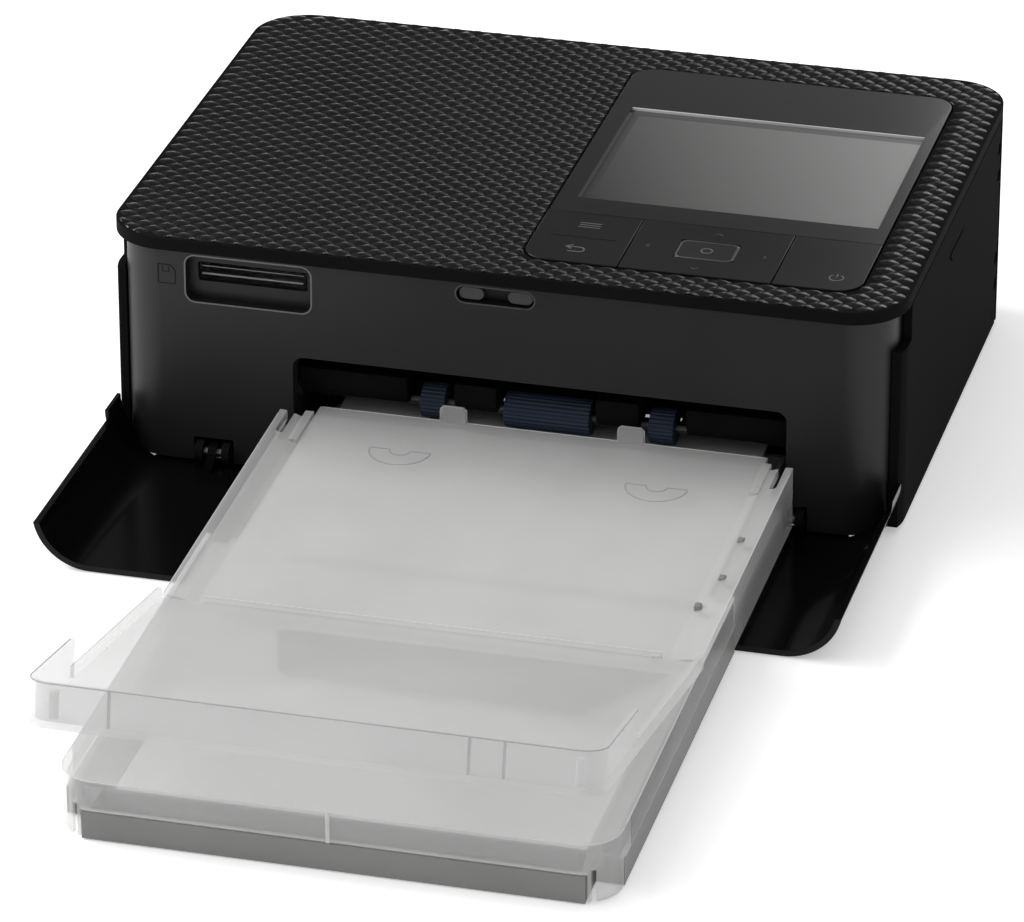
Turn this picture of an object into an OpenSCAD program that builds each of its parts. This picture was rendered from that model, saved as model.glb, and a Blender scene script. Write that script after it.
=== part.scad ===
// Compact photo printer with a loaded paper cassette, millimetres, +Z up.
// The printer is drawn about the centre of its own footprint and then moved back by
// base_shift, so that the origin is the centre of the whole object's footprint.

/* [Body] */
// Width of the body
body_w = 182.2; // [181:0.1:184]
// Depth of the body
body_d = 133; // [132:0.5:136]
// Height of the body above the table
body_h = 57.6; // [57:0.1:59]
// Corner radius of the outline
body_r = 13; // [12:0.5:14]
// Thickness of the case panels
panel_t = 2; // [1.8:0.1:2.2]
// Thickness of the top cover
cover_t = 3; // [2.8:0.1:3.2]
// Thickness of the bottom case floor
floor_t = 1.8; // [1.5:0.1:1.9]
// How far the front face lies behind the top cover's edge
face_set = 2.3; // [2.1:0.1:2.6]
// Relief left above the top cover for its moulded grain
grain_h = 0.4; // [0.3:0.1:0.5]
// Gap between neighbouring case panels
seam = 0.3; // [0.2:0.05:0.4]
// Height of the rubber feet below the floor
foot_h = 1.2; // [1:0.1:1.2]
// Diameter of a rubber foot
foot_d = 11; // [9:0.5:12]
// Front edge of the side panels, from the front of the body
side_front = 8.5; // [8:0.5:9]
// Depth of the finger notch at the side panels' upper front corner
notch_d = 7; // [6:0.5:8]
// Height at which the finger notch starts
notch_z = 45; // [42:1:47]

/* [Front openings] */
// Width of the paper opening
mouth_w = 113.6; // [112.6:0.1:114]
// Top of the paper opening
mouth_top = 30.2; // [29.5:0.1:31]
// Corner radius of the paper opening
mouth_r = 2.5; // [1.5:0.5:3]
// Width of the card recess
card_w = 29; // [28:0.5:30]
// Height of the card recess
card_h = 11; // [10:0.5:11]
// Left edge of the card recess, from the printer's middle
card_x = -72.2; // [-73:0.1:-71.5]
// Top of the card recess
card_top = 52.4; // [52:0.1:52.8]
// Width of the card slot
slot_w = 25.6; // [25:0.1:26]
// Height of the card slot
slot_h = 4.6; // [4.4:0.1:4.8]
// Depth of the recesses in the front
recess_d = 3; // [2.5:0.1:3.2]
// Length of the oval catch recess
catch_w = 17.8; // [17:0.1:18.5]
// Height of the oval catch recess
catch_h = 3.8; // [3.6:0.1:4]
// Middle height of the oval catch recess
catch_z = 50.5; // [50:0.1:50.8]

/* [Control panel] */
// Width of the control panel
pad_w = 76.9; // [76:0.1:77.5]
// Depth of the control panel
pad_d = 110.5; // [109.5:0.5:111]
// Right edge of the control panel, from the printer's middle
pad_right = 80; // [79:0.5:80.5]
// Front edge of the control panel, from the front of the body
pad_front = 10.1; // [9.8:0.1:10.5]
// Corner radius of the control panel
pad_r = 5.8; // [5:0.1:6.5]
// Depth of the key area
key_d = 26.1; // [25.5:0.1:27]
// Width of the menu key
menu_w = 22.2; // [21.5:0.1:23]
// Width of the power key
power_w = 19.8; // [19:0.1:20.5]
// Width of the confirm key
ok_w = 14.3; // [13.5:0.1:15]
// Depth of the confirm key
ok_d = 10.3; // [9.5:0.1:11]
// Thickness of the keys' plates
key_t = 1.5; // [1.3:0.1:1.6]
// Gap round each key
key_gap = 0.25; // [0.2:0.05:0.3]
// Travel of a pressed key
key_travel = 0.5; // [0.3:0.1:0.5]
// Width of the picture area of the display
lcd_w = 70.1; // [69:0.1:71]
// Depth of the picture area of the display
lcd_d = 52.6; // [52:0.1:53.5]
// Thickness of the display module
lcd_t = 2.6; // [2.4:0.1:2.7]

/* [Paper feed] */
// Distance of the printing mechanism's middle behind the front of the body
mech_in = 66.5; // [66.3:0.1:66.7]
// Middle of the paper path, from the printer's middle
path_x = 9.7; // [9.5:0.1:9.9]
// Height of the paper path behind the feed rollers
path_z = 17; // [16.8:0.1:17.2]
// Distance of the feed shaft behind the front of the body
feed_y = 12; // [11.8:0.1:12.4]
// Height of the feed shaft
feed_z = 18.7; // [18.5:0.1:19]
// Diameter of the feed rollers
feed_d = 8.2; // [7.8:0.1:8.4]
// Diameter of the feed shaft
feed_shaft_d = 3; // [2.8:0.1:3.2]
// Width of the middle feed roller
feed_mid_w = 19.8; // [19:0.1:20.4]
// Width of a side feed roller
feed_side_w = 5.7; // [5.2:0.1:6]
// Distance of each side feed roller from the middle
feed_side_x = 26.4; // [26:0.1:26.8]
// Diameter of the platen roller
platen_d = 11; // [10.4:0.1:11.4]
// Diameter of the capstan roller
capstan_d = 6; // [5.6:0.1:6.4]
// Diameter of the pinch roller
pinch_d = 6; // [5.6:0.1:6.4]
// Length of the platen, capstan and pinch rollers
roller_w = 106; // [104:1:108]
// Distance between the inner faces of the two frame plates
frame_gap = 115.4; // [115.4:0.1:116]
// Thickness of the frame plates
plate_t = 1.2; // [1:0.1:1.3]
// Radial clearance of a shaft in its bearing
run_gap = 0.05; // [0.03:0.01:0.08]
// Gap between parts that only lie side by side
air_gap = 0.35; // [0.3:0.05:0.4]

/* [Gears] */
// Module of the feed gears
gear_m = 0.8; // [0.8:0.01:0.81]
// Face width of the gears
gear_w = 4; // [3.5:0.1:4.2]
// Teeth of the feed gear
feed_teeth = 16; // [14:2:16]
// Teeth of the large idler gear
idler_teeth = 40; // [40:2:42]
// Teeth of the capstan gear
capstan_teeth = 12; // [12:2:14]
// Teeth of the motor pinions
pinion_teeth = 12; // [12:1:13]
// Teeth of the ribbon gear
ribbon_teeth = 24; // [24:1:24]
// Diameter of the motors
motor_d = 20; // [18:0.5:20]
// Length of the motors
motor_l = 22; // [18:1:23]

/* [Ink ribbon] */
// Height of the spools
spool_z = 35; // [34.5:0.1:35.5]
// Distance of the take-up spool from the printer's middle, to the front
takeup_y = 10; // [9.8:0.1:10.2]
// Distance of the supply spool from the printer's middle, to the back
supply_y = 28; // [27.5:0.1:28.5]
// Diameter of the full supply roll
supply_d = 17; // [15:0.5:17.5]
// Diameter of the wound take-up roll
takeup_d = 11; // [10:0.5:14]
// Diameter of a spool core
core_d = 8; // [7.5:0.1:8.5]
// Wall of the ribbon cassette
ink_wall = 1.4; // [1.2:0.1:1.6]

/* [Paper cassette] */
// Width of the cassette
cas_w = 118; // [117.5:0.1:118.4]
// Length of the cassette
cas_l = 188.5; // [187.5:0.5:189]
// How far the cassette goes into the body
cas_in = 21.5; // [21:0.5:22]
// Width of the part that goes into the printer
cas_neck_w = 104.8; // [104.2:0.2:105]
// Slope of the cassette down to the front, in degrees
cas_tilt = 1.1; // [1:0.05:1.2]
// Height of the cassette's front edge above the table
cas_lift = 0.3; // [0.2:0.1:0.4]
// Wall of the cassette base
base_t = 1.5; // [1.3:0.1:1.6]
// Wall of the clear covers
clear_t = 1.2; // [1:0.1:1.3]
// Height of the base's side walls
band_h = 6.2; // [5.8:0.1:6.5]
// Width of the base's front strip
strip_w = 106; // [104:0.5:107]
// Height of the clear inner lid
lid_h = 13.6; // [13.2:0.1:14]
// Width of the output deck's floor
deck_w = 103.4; // [102:0.2:104]
// Height of the output deck's outer edges
deck_edge_h = 15.6; // [15.2:0.1:16]
// Distance of the deck's crease from the cassette's front
crease_v = 76; // [74:0.5:78]
// Length of the raised flap
flap_l = 92; // [90:0.1:94]
// Width of the raised flap
flap_w = 119.6; // [118:0.1:120]
// Radius of the flap's corners beside the lip
flap_r = 5; // [3:0.5:7]
// Slope of the raised flap, in degrees
flap_angle = 11; // [10.5:0.1:12]
// Height of the flap's front lip
lip_h = 9.6; // [9:0.1:10]
// Height of the flap's low side walls
flap_wall_h = 3.4; // [3:0.1:4]
// Length of the flap's tall corner walls
stub_l = 30; // [26:1:34]
// Diameter of the flap's hinge bead
bead_d = 1.4; // [1.2:0.1:1.5]

/* [Front cover] */
// Thickness of the front cover
door_t = 1.4; // [1.3:0.1:1.5]
// Height of the open front cover's underside
door_z = 0.2; // [0.1:0.1:0.3]
// How far the open front cover reaches before the body
door_out = 54; // [53:0.5:55]
// Height of the front cover's side wraps
wrap_h = 10.5; // [10:0.5:12]
// Distance of each hinge arm from the printer's middle
arm_x = 66.5; // [66.3:0.1:67]
// Thickness of a hinge arm
arm_t = 2; // [1.8:0.1:2.2]
// Diameter of the hinge pins
pin_d = 2.2; // [2:0.1:2.4]
// Length of a hinge pin
pin_l = 8; // [7.6:0.2:8]
// Height of the front cover's hinge pins
hinge_z = 4; // [3.9:0.1:4.2]

/* [Hidden] */
$fn = 64;

// Slack used by every cut that runs past a face
over = 1;

// Levels
front_y = -body_d / 2;
back_y = body_d / 2;
side_x = body_w / 2;
floor_top = foot_h + floor_t;
cover_top = body_h - grain_h;
cover_low = cover_top - cover_t;
panel_low = foot_h + 0.4;
panel_high = cover_low - seam;
face_y = front_y + face_set;
face_in_y = face_y + panel_t;
flap_run = flap_l * cos(flap_angle);
cas_out = cas_l - cas_in;
cas_front_y = front_y - cas_out;
crease_y = cas_front_y + crease_v;
flap_front_y = crease_y - flap_run;
base_shift = -(back_y + flap_front_y) / 2;

// Colours
black_c = [0.06, 0.06, 0.065];
gloss_c = [0.03, 0.03, 0.035];
screen_c = [0.30, 0.31, 0.32];
steel_c = [0.70, 0.71, 0.72];
navy_c = [0.10, 0.13, 0.22];
rubber_c = [0.12, 0.12, 0.12];
clear_c = [0.86, 0.87, 0.87, 0.6];
grey_c = [0.55, 0.56, 0.55];
board_c = [0.10, 0.32, 0.20];
gear_c = [0.88, 0.87, 0.82];
alloy_c = [0.76, 0.77, 0.78];
film_c = [0.28, 0.20, 0.36];

// ---------- helpers ----------

// Moves what is drawn about the printer's own middle to the origin of the whole object
module in_frame() { translate([0, base_shift, 0]) children(); }

// A cassette's own frame: x from its middle, y from its front edge, z from its underside
module in_cassette() {
  in_frame() translate([path_x, cas_front_y, cas_lift]) rotate([cas_tilt, 0, 0]) children();
}

// A flap's own frame: y runs from the crease to the lip, z stands on the plate's underside
module in_flap() {
  in_cassette() translate([0, crease_v, bead_z])
    rotate([180 - cas_tilt - flap_angle, 0, 0]) mirror([0, 0, 1]) children();
}

// Rectangle with round corners, about its middle
module round_rect(w, d, r) {
  square([w - 2 * r, d], center = true);
  square([w, d - 2 * r], center = true);
  for (sx = [-1, 1], sy = [-1, 1])
    translate([sx * (w / 2 - r), sy * (d / 2 - r)]) circle(r);
}

// Box between two corners
module span_box(a, b) { translate(a) cube(b - a); }

// Cylinder along X from x0 to x1 about the line at y, z
module rod_x(x0, x1, y, z, d) {
  translate([x0, y, z]) rotate([0, 90, 0]) cylinder(h = x1 - x0, d = d);
}

// Wall that follows the outline, a distance inside it, between two heights
module outline_wall(inset, t, z0, z1) {
  translate([0, 0, z0]) linear_extrude(z1 - z0) difference() {
    round_rect(body_w - 2 * inset, body_d - 2 * inset, body_r - inset);
    round_rect(body_w - 2 * (inset + t), body_d - 2 * (inset + t), body_r - inset - t);
  }
}

// Spur gear profile with straight flanks; a tooth points along the first axis
tooth_top = 0.8;
tooth_root = 1.15;
module gear_profile(n) {
  rp = gear_m * n / 2;
  ro = rp + tooth_top * gear_m;
  rr = rp - tooth_root * gear_m;
  pitch = 360 / n;
  polygon([for (i = [0 : n - 1], c = [[rr, -0.30], [ro, -0.12], [ro, 0.12], [rr, 0.30]])
    c[0] * [cos((i + c[1]) * pitch), sin((i + c[1]) * pitch)]]);
}

// Gear on a shaft along X: profile angle a is measured from +Y towards +Z
module gear_x(x0, p, n, a, bore_d, w = gear_w) {
  translate([x0, p[0], p[1]]) rotate([90, 0, 90]) linear_extrude(w) difference() {
    rotate(a) gear_profile(n);
    circle(d = bore_d);
  }
}

// Angle of the second gear so that its gap meets the first gear's tooth
function mesh_angle(pa, pb, aa, na, nb) =
  let (al = atan2(pb[1] - pa[1], pb[0] - pa[0]))
  al + 180 - 360 / nb * (0.5 - (al - aa) * na / 360);

// Upper meeting point of two circles about pa and pb
function meet(pa, ra, pb, rb) =
  let (d = norm(pb - pa), t = (ra * ra - rb * rb + d * d) / (2 * d),
       h = sqrt(ra * ra - t * t), e = (pb - pa) / d)
  pa + t * e + h * [-e[1], e[0]];

function pitch_sum(na, nb) = gear_m * (na + nb) / 2;

// ---------- places worked out from the sizes ----------

plate_in_l = path_x - frame_gap / 2;
plate_in_r = path_x + frame_gap / 2;
plate_out_l = plate_in_l - plate_t;
plate_out_r = plate_in_r + plate_t;
gear_x0 = plate_out_l - 1 - gear_w;
gear_x1 = gear_x0 - 0.5 - gear_w;
gear_plate_x = gear_x1 - 1;
shaft_end_l = gear_x0 - air_gap;
shaft_end_r = plate_out_r + 2.5;

feed_p = [front_y + feed_y, feed_z];
mech_y = front_y + mech_in;
capstan_p = [mech_y - 14, path_z - capstan_d / 2];
pinch_p = [capstan_p[0], path_z + pinch_d / 2 + 0.35];
platen_p = [mech_y + 10, path_z - platen_d / 2];
idler_p = meet(feed_p, pitch_sum(feed_teeth, idler_teeth), capstan_p,
               pitch_sum(capstan_teeth, idler_teeth));
pinion_dir = 60;
pinion_p = idler_p + pitch_sum(idler_teeth, pinion_teeth) * [cos(pinion_dir), sin(pinion_dir)];
takeup_p = [mech_y - takeup_y, spool_z];
supply_p = [mech_y + supply_y, spool_z];
ribbon_dir = 10;
ribbon_pinion_p = takeup_p
  + pitch_sum(ribbon_teeth, pinion_teeth) * [cos(ribbon_dir), sin(ribbon_dir)];
head_y = platen_p[0];
pivot_p = [mech_y + 46, 44.5];
pivot_d = 4;

idler_a = 0;
feed_a = mesh_angle(idler_p, feed_p, idler_a, idler_teeth, feed_teeth);
capstan_a = mesh_angle(idler_p, capstan_p, idler_a, idler_teeth, capstan_teeth);
pinion_a = mesh_angle(idler_p, pinion_p, idler_a, idler_teeth, pinion_teeth);
ribbon_pinion_a = mesh_angle(takeup_p, ribbon_pinion_p, 0, ribbon_teeth, pinion_teeth);

gear_shaft_d = 3;
platen_shaft_d = 5;
motor_shaft_d = 2;
lid_low = lid_h - clear_t - air_gap;
bead_z = lid_h + air_gap + clear_t / 2;
deck_z = lid_low + air_gap;

// Control panel
pad_x = pad_right - pad_w / 2;
pad_y0 = front_y + pad_front;
pad_y1 = pad_y0 + pad_d;
pad_cy = (pad_y0 + pad_y1) / 2;
pocket_z = body_h - key_t - key_travel - 0.2;
key_z = body_h - key_t;
key_y1 = pad_y0 + key_d;
key_cy = (pad_y0 + key_y1) / 2;
pad_x0 = pad_x - pad_w / 2;
pad_x1 = pad_x + pad_w / 2;
menu_x1 = pad_x0 + menu_w;
power_x0 = pad_x1 - power_w;
nav_x = (menu_x1 + power_x0) / 2;
lcd_y = key_y1 + 8.3 + lcd_d / 2;
lcd_z1 = cover_low - 0.05;
stem_d = 2.4;
mat_z = 51.9;
mat_t = 0.6;
board_t = 1;

// Stems under the keys, as points on the board
menu_stems = [for (s = [-1, 1]) [(pad_x0 + menu_x1) / 2, key_cy + s * 6.5]];
nav_stems = [for (s = [-1, 1]) [nav_x, key_cy + s * 9.3]];
ok_stems = [[nav_x, key_cy]];
power_stems = [[(power_x0 + pad_x1) / 2, key_cy - 5.5]];
all_stems = concat(menu_stems, nav_stems, ok_stems, power_stems);

// Case screws and their posts
post_x = side_x - 9.1;
post_places = [for (s = [-1, 1], y = [front_y + 14.5, back_y - 10.5]) [s * post_x, y]];
post_d = 6.4;
screw_d = 2.6;
screw_top = 14;
post_split = 9;

// Hinge of the front cover
hinge_y = front_y + 2.5;
hinge_p = [hinge_y, hinge_z];

// ---------- case ----------

module bottom_case() {
  color(black_c) in_frame() difference() {
    union() {
      translate([0, 0, foot_h]) linear_extrude(floor_t) {
        inset_plan(face_set + panel_t + seam);
        intersection() {
          inset_plan(panel_t + seam);
          translate([-side_x, case_step_y]) square([body_w, body_d]);
        }
      }
      intersection() {
        outline_wall(panel_t + seam, 1.5, foot_h, post_split);
        span_box([-side_x, case_step_y, 0], [side_x, back_y, 12]);
      }
      intersection() {
        outline_wall(face_set + panel_t + seam, 1.5, foot_h, post_split);
        for (s = [-1, 1])
          span_box([s * (post_x + 2) - 7, front_y, 0], [s * (post_x + 2) + 7, case_step_y, 12]);
      }
      for (p = post_places) translate([p[0], p[1], foot_h])
        cylinder(h = post_split - foot_h, d = post_d);
      for (s = [-1, 1], e = [-1, 1]) hinge_lug(s * arm_x + e * (pin_l / 2 - 1));
      for (p = board_posts) translate([p[0], p[1], foot_h]) cylinder(h = board_z - foot_h, d = 5);
    }
    for (p = post_places) {
      translate([p[0], p[1], -over]) cylinder(h = 30, d = screw_d + 0.1);
      translate([p[0], p[1], -over]) cylinder(h = over + foot_h + 2.2, d = 5.4);
    }
    for (s = [-1, 1]) {
      span_box([s * arm_x - arm_t / 2 - 1.2, front_y, 0], [s * arm_x + arm_t / 2 + 1.2, hinge_y + 3.6, 12]);
      rod_x(s * arm_x - pin_l / 2 - over, s * arm_x + pin_l / 2 + over, hinge_y, hinge_z, pin_d);
    }
    for (p = foot_places) translate([p[0], p[1], foot_h - over]) cylinder(h = over + 0.6, d = foot_d + 0.1);
    for (i = [0 : 7]) span_box([-20 + 7 * i, -20, 0], [-17 + 7 * i, 20, 10]);
    translate([door_pivot[0], door_pivot[1], 0]) cylinder(h = body_h, r = door_sweep);
  }
}

case_step_y = front_y + side_front + notch_d + 3 + seam;
module inset_plan(inset) {
  round_rect(body_w - 2 * inset, body_d - 2 * inset, body_r - inset);
}

// Lug that carries one end of a front cover hinge pin
module hinge_lug(x) {
  rod_x(x - 1, x + 1, hinge_y, hinge_z, 5);
  span_box([x - 1, hinge_y - 0.6, foot_h], [x + 1, hinge_y + 4, hinge_z]);
}

foot_x = side_x - 19.1;
foot_places = [for (sx = [-1, 1], sy = [-1, 1]) [sx * foot_x, sy * (back_y - 16.5)]];
module rubber_feet() {
  color(rubber_c) in_frame() for (p = foot_places) translate([p[0], p[1], 0]) {
    cylinder(h = foot_h + 0.55, d = foot_d);
  }
}

module case_screws() {
  color(steel_c) in_frame() for (p = post_places) translate([p[0], p[1], 0]) {
    translate([0, 0, foot_h + 0.5]) cylinder(h = 1.6, d = 5);
    translate([0, 0, foot_h + 1]) cylinder(h = screw_top - foot_h - 1, d = screw_d);
  }
}

module front_panel() {
  color(black_c) in_frame() difference() {
    union() {
      intersection() {
        outline_wall(face_set, panel_t, panel_low, panel_high);
        span_box([-side_x, front_y, 0], [side_x, front_y + side_front + notch_d + 3, body_h]);
      }
      span_box([card_x - 1.5, face_in_y - 0.5, card_top - card_h - 1.5],
               [card_x + card_w + 1.5, face_y + recess_d + 1.4, panel_high]);
      span_box([-catch_w / 2 - 2, face_in_y - 0.5, catch_z - catch_h / 2 - 1.5],
               [catch_w / 2 + 2, face_y + recess_d + 1.4, panel_high]);
    }
    paper_mouth();
    card_recess();
    translate([card_slot_x, 0, card_slot_z]) rotate([90, 0, 0])
      linear_extrude(body_d) round_rect(slot_w, slot_h, 0.6);
    translate([-0.5, face_y + recess_d, catch_z]) rotate([90, 0, 0])
      linear_extrude(recess_d + over) oval(catch_w, catch_h);
    for (s = [-1, 1])
      span_box([s * arm_x - pin_l / 2 - 0.6, front_y, 0],
               [s * arm_x + pin_l / 2 + 0.6, face_in_y + over, 7.4]);
  }
}

mouth_x = path_x - 0.4;
module paper_mouth() {
  translate([mouth_x, -40, 0]) rotate([90, 0, 0]) linear_extrude(body_d) {
    translate([0, mouth_top / 2]) round_rect(mouth_w, mouth_top, mouth_r);
    translate([-mouth_w / 2, -over]) square([mouth_w, mouth_top / 2]);
  }
}

module oval(w, h) {
  square([w - h, h], center = true);
  for (s = [-1, 1]) translate([s * (w - h) / 2, 0]) circle(d = h);
}

card_slot_x = card_x + card_w / 2 + 0.3;
card_slot_z = card_top - card_h / 2 + 0.7;
module card_recess() {
  translate([card_x + card_w / 2, face_y + recess_d, card_top - card_h / 2]) rotate([90, 0, 0])
    linear_extrude(recess_d + over) round_rect(card_w, card_h, 2.2);
}

module cover_catch() {
  lobe_l = 5.6;
  color(grey_c) in_frame() for (s = [-1, 1])
    translate([-0.5 + s * (catch_w / 2 - lobe_l / 2 - 0.5), face_y + recess_d, catch_z])
      rotate([90, 0, 0]) linear_extrude(recess_d - 0.8) oval(lobe_l, catch_h - 1);
}

// Side panel shape shared by both sides, drawn for the right side
module side_skin(y1) {
  difference() {
    intersection() {
      outline_wall(0, panel_t, panel_low + 0.2, panel_high);
      span_box([0, front_y + side_front, 0], [side_x, y1, body_h]);
    }
    span_box([0, front_y, notch_z], [side_x + over, front_y + side_front + notch_d, body_h]);
  }
}

panel_back = back_y - body_r;
module left_side_panel() {
  color(black_c) in_frame() mirror([1, 0, 0]) {
    side_skin(panel_back);
    for (z = [16, 40]) span_box([side_x - face_set - 1.5, -30, z], [side_x - panel_t + 0.1, -26, z + 3]);
    for (z = [16, 40]) span_box([side_x - face_set - 1.5, 30, z], [side_x - panel_t + 0.1, 34, z + 3]);
  }
}

// Ink door: swings about an upright pin at its rear edge
door_pivot = [side_x - 1.6, panel_back - 1.9];
knuckle_d = 2.8;
door_sweep = 2.5;
module ink_door() {
  color(black_c) in_frame() difference() {
    union() {
      difference() {
        side_skin(door_pivot[1] + 1);
        for (z = bracket_z) span_box([0, door_pivot[1] - 2, z - air_gap],
                                     [side_x + over, back_y, z + bracket_h + air_gap]);
      }
      for (z = knuckle_z) translate([door_pivot[0], door_pivot[1], z]) cylinder(h = 4, d = knuckle_d);
      for (y = [-30, 12])
        span_box([side_x - panel_t - 1.5, y, post_split + 1], [side_x - panel_t + 0.5, y + 1.6, 44]);
    }
    translate([door_pivot[0], door_pivot[1], 0]) cylinder(h = body_h, d = ink_pin_d + 2 * run_gap);
  }
}

ink_pin_d = 1.2;
bracket_h = 2;
knuckle_z = [14, 42];
bracket_z = [for (z = knuckle_z, s = [-1, 1]) z + 2 + s * (3 + air_gap) - bracket_h / 2];
module ink_door_pins() {
  color(steel_c) in_frame() for (z = knuckle_z)
    translate([door_pivot[0], door_pivot[1], z - 1.8]) cylinder(h = 7.6, d = ink_pin_d);
}

rear_slot_z = path_z + 0.5;
module rear_panel() {
  color(black_c) in_frame() difference() {
    union() {
      intersection() {
        outline_wall(0, panel_t, panel_low + 0.2, panel_high);
        span_box([-side_x, panel_back + 0.6, 0], [side_x, back_y, body_h]);
      }
      for (z = bracket_z) door_bracket(z);
    }
    translate([path_x, back_y + over, rear_slot_z]) rotate([90, 0, 0])
      linear_extrude(panel_t + 2 * over) round_rect(110, 6, 1.5);
    for (i = [0 : 15]) translate([-20 + 5.5 * i, back_y + over, 38]) rotate([90, 0, 0])
      linear_extrude(panel_t + 2 * over) oval_tall(2.4, 12);
    translate([dc_x, back_y - panel_t - over, port_z]) rotate([-90, 0, 0])
      cylinder(h = 2 * panel_t + over, d = 9);
    span_box([usb_x - 7, back_y - panel_t - over, port_z - 3.4], [usb_x + 7, back_y + over, port_z + 3.4]);
    translate([door_pivot[0], door_pivot[1], 0]) cylinder(h = body_h, d = ink_pin_d);
  }
}

// Ear on the rear panel that holds one end of an ink door pin
module door_bracket(z) {
  translate([door_pivot[0], door_pivot[1], z]) cylinder(h = bracket_h, d = knuckle_d);
  span_box([door_pivot[0] - knuckle_d / 2, door_pivot[1], z],
           [door_pivot[0] + 0.6, panel_back + 5, z + bracket_h]);
}

module oval_tall(w, h) { rotate(90) oval(h, w); }

module top_cover() {
  color(black_c) in_frame() difference() {
    union() {
      translate([0, 0, cover_low]) linear_extrude(cover_t) round_rect(body_w, body_d, body_r);
      for (p = post_places) translate([p[0], p[1], post_split + 0.1])
        cylinder(h = cover_low - post_split, d = post_d);
      for (x = [18, 50]) span_box([x, face_in_y + seam, cover_low - 2],
                                  [x + 20, face_in_y + seam + 1.2, cover_low + 0.5]);
      for (x = [pad_x0 + 3.5, pad_x1 - 3.5], y = [pad_y0 + 3.5, key_y1 - 3.5])
        translate([x, y, mat_z]) cylinder(h = cover_low - mat_z + 0.5, d = 4);
    }
    translate([pad_x, pad_cy, pocket_z]) linear_extrude(cover_t)
      round_rect(pad_w + 2 * key_gap, pad_d + 2 * key_gap, pad_r + key_gap);
    span_box([pad_x - lcd_w / 2 - 1, lcd_y - lcd_d / 2 - 1, 0],
             [pad_x + lcd_w / 2 + 1, lcd_y + lcd_d / 2 + 1, body_h]);
    for (p = all_stems) translate([p[0], p[1], 0]) cylinder(h = body_h, d = stem_d + 0.8);
    for (p = post_places) translate([p[0], p[1], 0]) cylinder(h = screw_top + 2, d = screw_d);
  }
}

// ---------- control panel ----------

module display_window() {
  color(gloss_c) in_frame() translate([0, 0, pocket_z + 0.1]) linear_extrude(body_h - pocket_z - 0.1)
    intersection() {
      translate([pad_x, pad_cy]) round_rect(pad_w, pad_d, pad_r);
      translate([pad_x0 - over, key_y1 + key_gap / 2]) square([pad_w + 2 * over, pad_d]);
    }
}

module lcd_module() {
  color(screen_c) in_frame() {
    span_box([pad_x - lcd_w / 2 - 3, lcd_y - lcd_d / 2 - 4, lcd_z1 - lcd_t],
             [pad_x + lcd_w / 2 + 3, lcd_y + lcd_d / 2 + 4, lcd_z1]);
    span_box([pad_x - lcd_w / 2, lcd_y - lcd_d / 2, lcd_z1 - 0.1],
             [pad_x + lcd_w / 2, lcd_y + lcd_d / 2, pocket_z]);
  }
}

// Flat cable from the main board, over the left frame plate, to the display
module display_cable() {
  w = 6;
  t = 0.3;
  x0 = board_x1 - 1.6;
  x1 = pad_x0 + 12;
  z = 49.4;
  color([0.85, 0.70, 0.45]) in_frame() translate([0, board_y0 + 1, 0]) {
    span_box([x0, 0, board_z + 1.6], [x0 + t, w, z + t]);
    span_box([x0, 0, z], [x1, w, z + t]);
    span_box([x1 - 3, 0, z], [x1, w, lcd_z1 - lcd_t]);
  }
}

// Plate of one key: the part of the key area between two places across it
module key_plate(x0, x1) {
  translate([0, 0, key_z]) linear_extrude(key_t) intersection() {
    translate([pad_x, pad_cy]) round_rect(pad_w, pad_d, pad_r);
    translate([x0, pad_y0 - over]) square([x1 - x0, key_d + over - key_gap / 2]);
  }
}

module key_stems(places) {
  for (p = places) translate([p[0], p[1], mat_z + mat_t + key_travel + 0.35])
    cylinder(h = key_z + 0.5 - mat_z - mat_t - key_travel - 0.35, d = stem_d);
}

module menu_key() {
  color(gloss_c) in_frame() {
    key_plate(pad_x0 - over, menu_x1 - key_gap / 2);
    key_stems(menu_stems);
  }
}

module navigation_key() {
  color(gloss_c) in_frame() difference() {
    union() {
      key_plate(menu_x1 + key_gap / 2, power_x0 - key_gap / 2);
      key_stems(nav_stems);
    }
    translate([nav_x, key_cy, 0]) linear_extrude(body_h + over)
      round_rect(ok_w + 2 * key_gap, ok_d + 2 * key_gap, 2 + key_gap);
  }
}

module ok_key() {
  color(gloss_c) in_frame() {
    translate([nav_x, key_cy, key_z]) linear_extrude(key_t) round_rect(ok_w, ok_d, 2);
    key_stems(ok_stems);
  }
}

module power_key() {
  color(gloss_c) in_frame() {
    key_plate(power_x0 + key_gap / 2, pad_x1 + over);
    key_stems(power_stems);
  }
}

module key_mat() {
  color(rubber_c) in_frame() {
    span_box([pad_x0 + 6, pad_y0 + 2, mat_z], [pad_x1 - 6, key_y1 - 2, mat_z + mat_t]);
    for (p = all_stems) translate([p[0], p[1], mat_z + mat_t - 0.1]) cylinder(h = 0.35, d = 4);
  }
}

module key_board() {
  color(board_c) in_frame()
    span_box([pad_x0 + 2, pad_y0 + 1, mat_z - board_t], [pad_x1 - 2, key_y1 - 1, mat_z]);
}

// ---------- electronics ----------

gear_plate_y1 = mech_y + 24;

reader_l = 25;
module card_reader() {
  reader_y0 = face_y + recess_d + 1.4 + seam;
  color(steel_c) in_frame() difference() {
    span_box([card_slot_x - slot_w / 2 - 1.2, reader_y0, card_slot_z - slot_h / 2 - 1],
             [card_slot_x + slot_w / 2 + 1.2, reader_y0 + reader_l, card_slot_z + slot_h / 2 + 1]);
    span_box([card_slot_x - slot_w / 2, reader_y0 - over, card_slot_z - slot_h / 2],
             [card_slot_x + slot_w / 2, reader_y0 + reader_l - 1, card_slot_z + slot_h / 2]);
  }
}

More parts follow.
